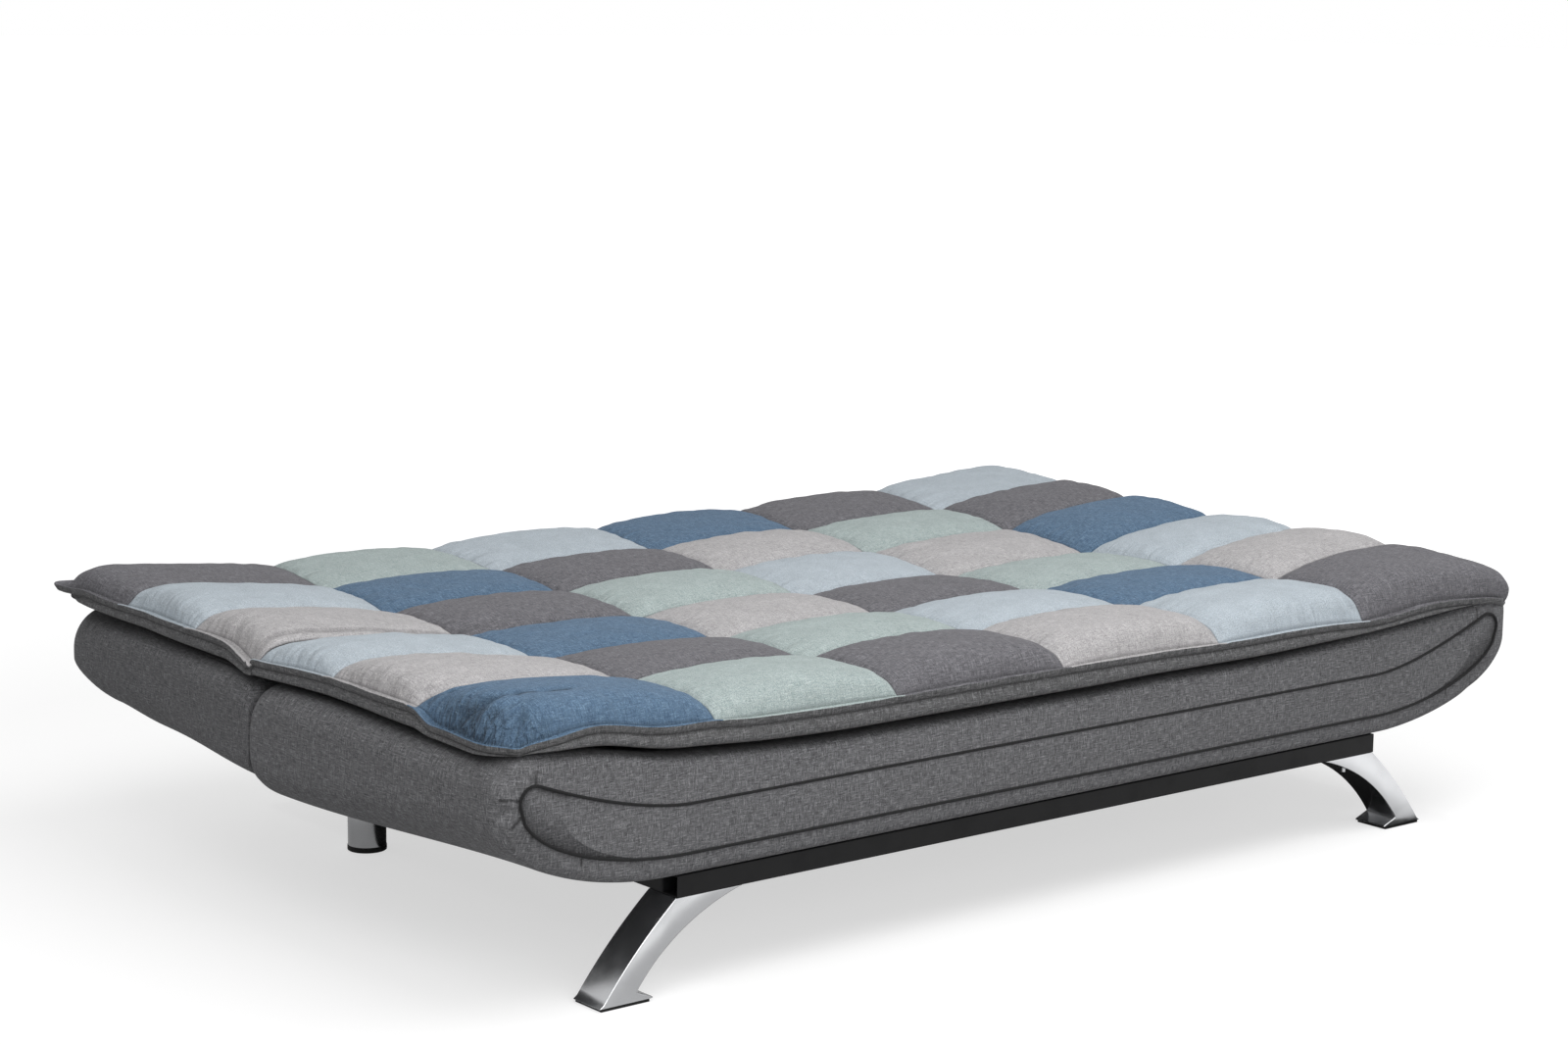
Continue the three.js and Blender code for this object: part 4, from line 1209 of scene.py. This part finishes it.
def make_body(name, side, places, section_at, front_bulge):
    """A body: its outer face as a grid, then rings back to the fold."""
    first = {hand: section_at(places[0], hand) for hand in (-1, 1)}
    flat, half = (730.0, 985.0) if side == SEAT else (899.0, 954.0)
    columns = body_columns(flat, half)
    bm, table = grid_mesh(len(columns) - 1, BODY_ROWS)
    for i, place in enumerate(columns):
        for j in range(BODY_ROWS + 1):
            point = section_point(first[-1 if place < 0 else 1], place, j, places[0], flat, half)
            rise = j / BODY_ROWS
            point.y += side * front_bulge * 4 * rise * (1 - rise) * (1 - (abs(place) / half) ** 6)
            point.z += climb(side, places[0])
            table[i][j].co = point * MM
    rim = rim_of(table)
    ring = [table[i][j] for i, j in rim]
    for y in places[1:]:
        ring = extrude_ring(bm, ring)
        sections = {hand: section_at(y, hand) for hand in (-1, 1)}
        for (i, j), vert in zip(rim, ring):
            section = sections[-1 if columns[i] < 0 else 1]
            point = section_point(section, columns[i], j, y, flat, half)
            point.z += climb(side, y)
            if j == 0:
                fit_underside(side, point, y)
            if side == BACK and y == places[-1] and abs(abs(point.x) - PAWL_PLACE) < PAWL_ROOM:
                point.y += PAWL_DEEP
            vert.co = point * MM
    close_ring(bm, ring, len(columns), BODY_ROWS + 1)
    return object_from(bm, name, [SEAT_CLOTH if side == SEAT else BODY_CLOTH])


def round_places(outer, inner, depth, step):
    """Places along Y from the outer face to the fold: close together round the outer edge."""
    side = math.copysign(1, outer)
    reach, end = abs(outer), abs(inner)
    places = [reach - depth * (1 - math.cos(math.pi / 2 * k / 9)) for k in range(10)]
    place = places[-1]
    gap = 5.0
    while place - gap > end:
        place -= gap
        places.append(place)
        gap = min(step, gap * 1.18)
    places.append(end)
    return [side * p for p in places]


seat_places = round_places(-SEAT_FRONT, -1.0, 34.0, 17.0)
back_places = round_places(BACK_REACH, 1.0, 115.0, 17.0)
seat_cover = make_body("seat_cover", SEAT, seat_places, seat_section, 3.0)
back_cover = make_body("back_cover", BACK, back_places, back_section, 4.0)


# Hollows that the gathers pull into the front corners of the seat
HOLLOWS = [
    ((979, -608, 292), 8, 13),
    ((985, -598, 268), 5, 15),
    ((957, -613, 249), 8, 13),
    ((976, -596, 344), 8, 17),
    ((968, -610, 322), 4, 10),
    ((930, -614, 226), 4, 16),
]
press_dents(seat_cover, HOLLOWS + [((-x, y, z), depth, half) for (x, y, z), depth, half in HOLLOWS])


def paint_shade_under_pad(cover):
    """Paints shade on the narrow strip of a body's cloth that lies right under its pad."""
    mesh = cover.data
    marks = []
    for vert in mesh.vertices:
        x, y, z = vert.co / MM
        under_pad = PAD_BOTTOM + dish(x) + line_shift(x, y)
        # Painted shade under the pad's band
        marks.append(0.6 * ease(0, 1, (z - under_pad + 11) / 10))
    layer = mesh.attributes.new("painted_shade", "FLOAT", "POINT")
    layer.data.foreach_set("value", marks)


for cover, body, stood in (
    (seat_cover, "base_and_seat", ["seat_front_bolster", "seat_end_bolster_right",
     "seat_end_bolster_left", "seat_rear_border", "seat_foam"]),
    (back_cover, "back", ["back_rear_bolster", "back_end_bolster_right",
     "back_end_bolster_left", "back_front_border", "back_foam", "back_rear_cover"]),
):
    cloth_map(cover)
    paint_shade_under_pad(cover)
    smooth_surface(cover)
    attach(cover, body)
    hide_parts(*stood)

# The front panel


def panel_path(grow, fine):
    """The outline of the panel, grown outwards, from the middle of its bottom to its top."""
    points = [(690.0 * k / fine, 200 - grow) for k in range(fine)]
    for k in range(2 * fine):
        turn = math.pi / 2 * k / (2 * fine)
        if turn > 1.37:
            break
        points.append((690 + (265 + grow) * math.sin(turn), 303 - (103 + grow) * math.cos(turn)))
    for k in range(fine + 1):
        turn = math.pi * (-0.07 + 0.68 * k / fine)
        points.append((935 + (20 + grow) * math.cos(turn), 306 + (20 + grow) * math.sin(turn)))
    tip_x, tip_z = points[-1]
    for k in range(1, 2 * fine + 1):
        share = 1 - k / (2 * fine)
        x = 690 + (tip_x - 690) * share
        points.append((x, 265 + grow + (tip_z - 265 - grow) * share ** 1.6))
    points += [(690.0 * (1 - k / fine), 265 + grow) for k in range(1, fine + 1)]
    return points


def panel_outline(grow):
    """The whole outline of the panel. Its right tip reaches further than its left one."""
    half = panel_path(grow, 14)
    right = [(x + 0.115 * max(0.0, x - 690), z + 7 * ease(0, 1, (x - 690) / 260)) for x, z in half]
    left = [(-x - 0.026 * max(0.0, x - 690), z) for x, z in half]
    return right + left[-2:0:-1]


def make_panel():
    """The padded panel on the seat's front, drawn inwards from its outline by rounded steps."""
    bm = bmesh.new()
    rim = [bm.verts.new(at(x, 0, z)) for x, z in panel_outline(0)]
    face = bm.faces.new(rim)
    for thickness in (2.5, 4.5, 7.0, 10.0):
        bmesh.ops.inset_region(bm, faces=[face], thickness=thickness * MM, use_even_offset=True)
    for vert in bm.verts:
        near = min((vert.co - r.co).length for r in rim)
        out = 1.0 + 4.2 * ease(0, 1, near / (20 * MM))
        vert.co.y = -(SEAT_FRONT + out) * MM
    back = bmesh.ops.extrude_edge_only(bm, edges=[e for e in bm.edges if e.is_boundary])["geom"]
    for vert in verts_of(back):
        vert.co.y = -(SEAT_FRONT - 3) * MM
    bmesh.ops.holes_fill(bm, edges=[e for e in bm.edges if e.is_boundary], sides=0)
    bmesh.ops.triangulate(bm, faces=[f for f in bm.faces if len(f.verts) > 4])
    return object_from(bm, "front_panel", [BODY_CLOTH])


front_panel = make_panel()
cloth_map(front_panel)
front_panel.data.attributes.new("painted_shade", "FLOAT", "POINT")
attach(front_panel, "base_and_seat")
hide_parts("seat_front_panel")


def make_piping():
    """The piping round the front panel: a round cord swept along its outline."""
    outline = panel_outline(1.6)
    curve = bpy.data.curves.new("front_piping", "CURVE")
    curve.dimensions = "3D"
    spline = curve.splines.new("POLY")
    spline.points.add(len(outline) - 1)
    for point, (x, z) in zip(spline.points, outline):
        point.co = (x * MM, -(SEAT_FRONT + 2.2) * MM, z * MM, 1)
    spline.use_cyclic_u = True
    curve.bevel_depth = 2.2 * MM
    curve.bevel_resolution = 3
    holder = placed("piping_curve", curve)
    graph = bpy.context.evaluated_depsgraph_get()
    mesh = bpy.data.meshes.new_from_object(holder.evaluated_get(graph))
    bpy.data.objects.remove(holder)
    mesh.name = "front_piping"
    piece = placed("front_piping", mesh)
    mesh.materials.clear()
    mesh.materials.append(PIPING_CLOTH)
    mesh.shade_smooth()
    return piece


front_piping = make_piping()
cloth_map(front_piping)
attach(front_piping, "base_and_seat")
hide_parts("seat_front_piping")

# The dust cloth under the seat


def make_dust_cloth():
    """A thin black cloth, 1366 by 530 mm, that sags a little between the tubes of the frame."""
    wide, deep = 56, 24
    bm, table = grid_mesh(wide, deep)
    for i, column in enumerate(table):
        for j, vert in enumerate(column):
            x = -683 + 1366 * i / wide
            y = -540 + 530 * j / deep
            sag = 0.9 * math.sin(math.pi * i / wide) * math.sin(math.pi * j / deep)
            ripple = 0.5 * noise.noise(Vector((x * 0.02, y * 0.02, 3.0)))
            vert.co = at(x, y, 168.4 - sag - ripple)
    piece = object_from(bm, "dust_cloth", [UNDER_CLOTH])
    wall = piece.modifiers.new("thick", "SOLIDIFY")
    wall.thickness = 0.0006
    wall.offset = 0
    return piece


dust_cloth = make_dust_cloth()
cloth_map(dust_cloth)
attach(dust_cloth, "base_and_seat")
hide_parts("seat_dust_cover")

# Legs and rails


def curve_between(a, b, pull, steps):
    """Points of a quadratic curve in a plane, without its first."""
    points = []
    for k in range(1, steps + 1):
        t = k / steps
        points.append(tuple((1 - t) ** 2 * a[n] + 2 * t * (1 - t) * pull[n] + t * t * b[n]
                            for n in (0, 1)))
    return points


def leg_outline():
    """The outline of a sabre leg from the front, from its top inner corner round to it again."""
    top, foot = 135.7, 4.3
    outer = ((703 + 827) / 2 + 7, (top + foot) / 2 + 7)
    points = [(588, top), (703, top)]
    points += curve_between((703, top), (822, foot + 5), outer, 20)
    points += [(829, foot), (741, foot), (741, foot + 2.5)]
    points += [(768, 17)]
    inner = ((588 + 768) / 2 + 27, (top + 17) / 2 + 28)
    points += curve_between((768, 17), (588, top), inner, 20)[:-1]
    return points


def metal_piece(bm, name, edges, edge, material):
    """Rolls some edges of a metal shape and makes it a piece."""
    bmesh.ops.bevel(bm, geom=edges, offset=edge * MM, affect="EDGES", segments=3, profile=0.5,
                    material=-1)
    piece = object_from(bm, name, [material])
    piece.data.set_sharp_from_angle(angle=math.radians(35))
    return piece


# Where the front face of a sabre leg lies, and the leg's depth
LEG_FRONT = -606.0
LEG_DEPTH = 62


def make_leg(name, hand):
    """A sabre leg: its outline, drawn out along the depth of the bed."""
    bm = bmesh.new()
    rim = [bm.verts.new(at(hand * x, LEG_FRONT, z)) for x, z in leg_outline()]
    made = bmesh.ops.extrude_face_region(bm, geom=[bm.faces.new(rim)])["geom"]
    bmesh.ops.translate(bm, verts=verts_of(made), vec=(0, LEG_DEPTH * MM, 0))
    bmesh.ops.recalc_face_normals(bm, faces=bm.faces)
    sharp = [e for e in bm.edges if len(e.link_faces) == 2 and e.calc_face_angle() > 0.45]
    return metal_piece(bm, name, sharp, 1.3, CHROME)


def make_post(name, x, y, z0, z1, radius, edge, material):
    """A round post with rolled rims."""
    bm = bmesh.new()
    bmesh.ops.create_cone(bm, cap_ends=True, segments=72, radius1=radius * MM,
                          radius2=radius * MM, depth=(z1 - z0) * MM)
    bmesh.ops.translate(bm, verts=bm.verts, vec=(x * MM, y * MM, (z0 + z1) / 2 * MM))
    rims = [e for e in bm.edges if e.calc_face_angle() > 0.8]
    return metal_piece(bm, name, rims, edge, material)


for hand, word in ((1, "right"), (-1, "left")):
    leg = make_leg(f"sabre_leg_{word}", hand)
    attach(leg, "base_and_seat")
    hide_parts(f"front_leg_{word}")
    post = make_post(f"tube_leg_{word}", hand * 641, 272, 5.3, 131.4, 30, 1.2, TUBE_STEEL)
    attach(post, "base_and_seat")
    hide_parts(f"rear_leg_{word}")
    cap = make_post(f"tube_leg_cap_{word}", hand * 641, 272, 0, 9, 30.8, 1.6, RUBBER)
    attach(cap, "base_and_seat")
    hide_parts(f"rear_leg_glide_{word}")


def dress(starts, material, edge=0.0):
    """Gives the CAD pieces whose names start so their finish, and a small rolled edge."""
    for node in [nodes[name] for name in nodes if name.startswith(starts)]:
        for slot in node.material_slots:
            slot.link = "OBJECT"
            slot.material = material
        if edge:
            weld = node.modifiers.new("join", "WELD")
            weld.merge_threshold = 0.00002
            roll = node.modifiers.new("edge", "BEVEL")
            roll.width = edge * MM
            roll.segments = 3
            roll.limit_method = "ANGLE"
            roll.angle_limit = math.radians(40)


dress(("base_front_rail", "base_rear_rail", "base_cross_bar", "base_side_rail"), RAIL_BLACK, 1.0)
dress("rear_leg_plate", RAIL_BLACK, 0.6)
dress("front_foot_pad", RUBBER, 0.8)
dress(("seat_frame", "back_frame"), FRAME_GREY, 0.8)
dress(("seat_spring", "back_spring"), FRAME_GREY)
dress(("hinge_seat", "hinge_back", "ratchet_pawl"), FRAME_GREY, 0.5)
dress(("hinge_pin", "pawl_pin", "pawl_spring", "front_leg_bolt"), TUBE_STEEL)

# Stage, lights and camera


def white_stage():
    """A white floor whose glow grows away from the bed. In the bed's own mirrors it glows dimmer
    near the bed: painted shade for the floor under it in the metal's reflections.
    """
    bm = bmesh.new()
    bmesh.ops.create_grid(bm, x_segments=1, y_segments=1, size=60)
    floor = object_from(bm, "floor", [])
    material, t, shader = new_material("floor_white")
    shader.inputs["Base Color"].default_value = (0.42, 0.42, 0.42, 1)
    shader.inputs["Roughness"].default_value = 0.9
    rays = t.add("ShaderNodeLightPath")
    mirrored = t.math("MAXIMUM", rays.outputs["Is Glossy Ray"], rays.outputs["Is Transmission Ray"])
    place = t.add("ShaderNodeTexCoord").outputs["Object"]
    away = t.math("SQRT", t.dot(place, place))
    far = t.span(away, 1.6, 4.5, 0.6, 1.0)
    # Painted shade: the floor near the bed glows less in reflections
    near = t.math("MULTIPLY", mirrored, t.span(away, 1.0, 1.35, 0.3, 1.0))
    shown = t.math("MAXIMUM", t.math("MULTIPLY", rays.outputs["Is Camera Ray"], far), near)
    shader.inputs["Emission Color"].default_value = (1, 1, 1, 1)
    t.links.new(shown, shader.inputs["Emission Strength"])
    floor.data.materials.append(material)


def mirrored_shade_sheet(name, corners):
    """A black sheet that only mirrors see: painted shade for the floor under the bed, as the metal
    mirrors it.
    """
    bm = bmesh.new()
    bmesh.ops.create_grid(bm, x_segments=1, y_segments=1, size=1.0)
    for vert, corner in zip(bm.verts, corners):
        vert.co = Vector(corner)
    card = object_from(bm, name, [])
    material, t, shader = new_material(name)
    shader.inputs["Base Color"].default_value = (0.01, 0.01, 0.01, 1)
    shader.inputs["Roughness"].default_value = 1.0
    card.data.materials.append(material)
    card.visible_camera = False
    card.visible_diffuse = False
    card.visible_shadow = False
    card.visible_transmission = False


def soft_world():
    """A white sky that lights the bed less than it shows."""
    world = bpy.data.worlds.new("studio")
    bpy.context.scene.world = world
    world.use_nodes = True
    t = Tree(world.node_tree)
    sky = t.nodes["Background"]
    rays = t.add("ShaderNodeLightPath")
    seen = t.math("MAXIMUM", rays.outputs["Is Camera Ray"], rays.outputs["Is Glossy Ray"])
    seen = t.math("MAXIMUM", seen, rays.outputs["Is Transmission Ray"])
    strength = t.math("ADD", 0.45, t.math("MULTIPLY", seen, 0.55))
    t.set(sky, {"Color": (1, 1, 1, 1), "Strength": strength})


def lamp(name, place, target, size, power):
    """A soft lamp that looks at its target."""
    light = bpy.data.lights.new(name, "AREA")
    light.shape = "RECTANGLE"
    light.size, light.size_y = size
    light.energy = power
    holder = placed(name, light)
    holder.location = place
    holder.rotation_mode = "QUATERNION"
    holder.rotation_quaternion = (Vector(target) - Vector(place)).to_track_quat("-Z", "Y")


def photo_camera():
    """The camera as fitted to the photo."""
    camera = bpy.data.cameras.new("photo_camera")
    camera.lens = 73.8
    camera.sensor_width = 36.0
    camera.clip_start, camera.clip_end = 0.1, 100
    holder = placed("photo_camera", camera)
    yaw, pitch, roll = math.radians(39.28), math.radians(9.53), math.radians(0.77)
    ahead = Vector((math.sin(yaw) * math.cos(pitch), math.cos(yaw) * math.cos(pitch),
                    -math.sin(pitch)))
    level = Vector((math.cos(yaw), -math.sin(yaw), 0))
    up = level.cross(ahead)
    right = level * math.cos(roll) + up * math.sin(roll)
    above = right.cross(ahead)
    turn = Matrix((right, above, -ahead)).transposed()
    holder.matrix_world = Matrix.Translation((-3.2255, -3.9062, 1.3434)) @ turn.to_4x4()
    bpy.context.scene.camera = holder


white_stage()
# Painted shade under the bed, seen only in the metal's reflections
mirrored_shade_sheet("painted_shade_below", [(-0.63, -0.64, 0.003), (0.9, -0.64, 0.003),
                         (-0.63, 0.6, 0.003), (0.9, 0.6, 0.003)])
soft_world()
lamp("top_softbox", (0.6, -1.7, 3.4), (0.2, -0.2, 0.3), (4.0, 2.6), 88)
lamp("front_fill", (-1.4, -3.8, 1.5), (0.2, -0.4, 0.25), (2.4, 1.4), 32)
lamp("left_softbox", (-2.5, -1.9, 2.9), (-0.8, -0.4, 0.35), (1.8, 1.8), 33)
photo_camera()
bpy.context.scene.view_settings.view_transform = "Standard"
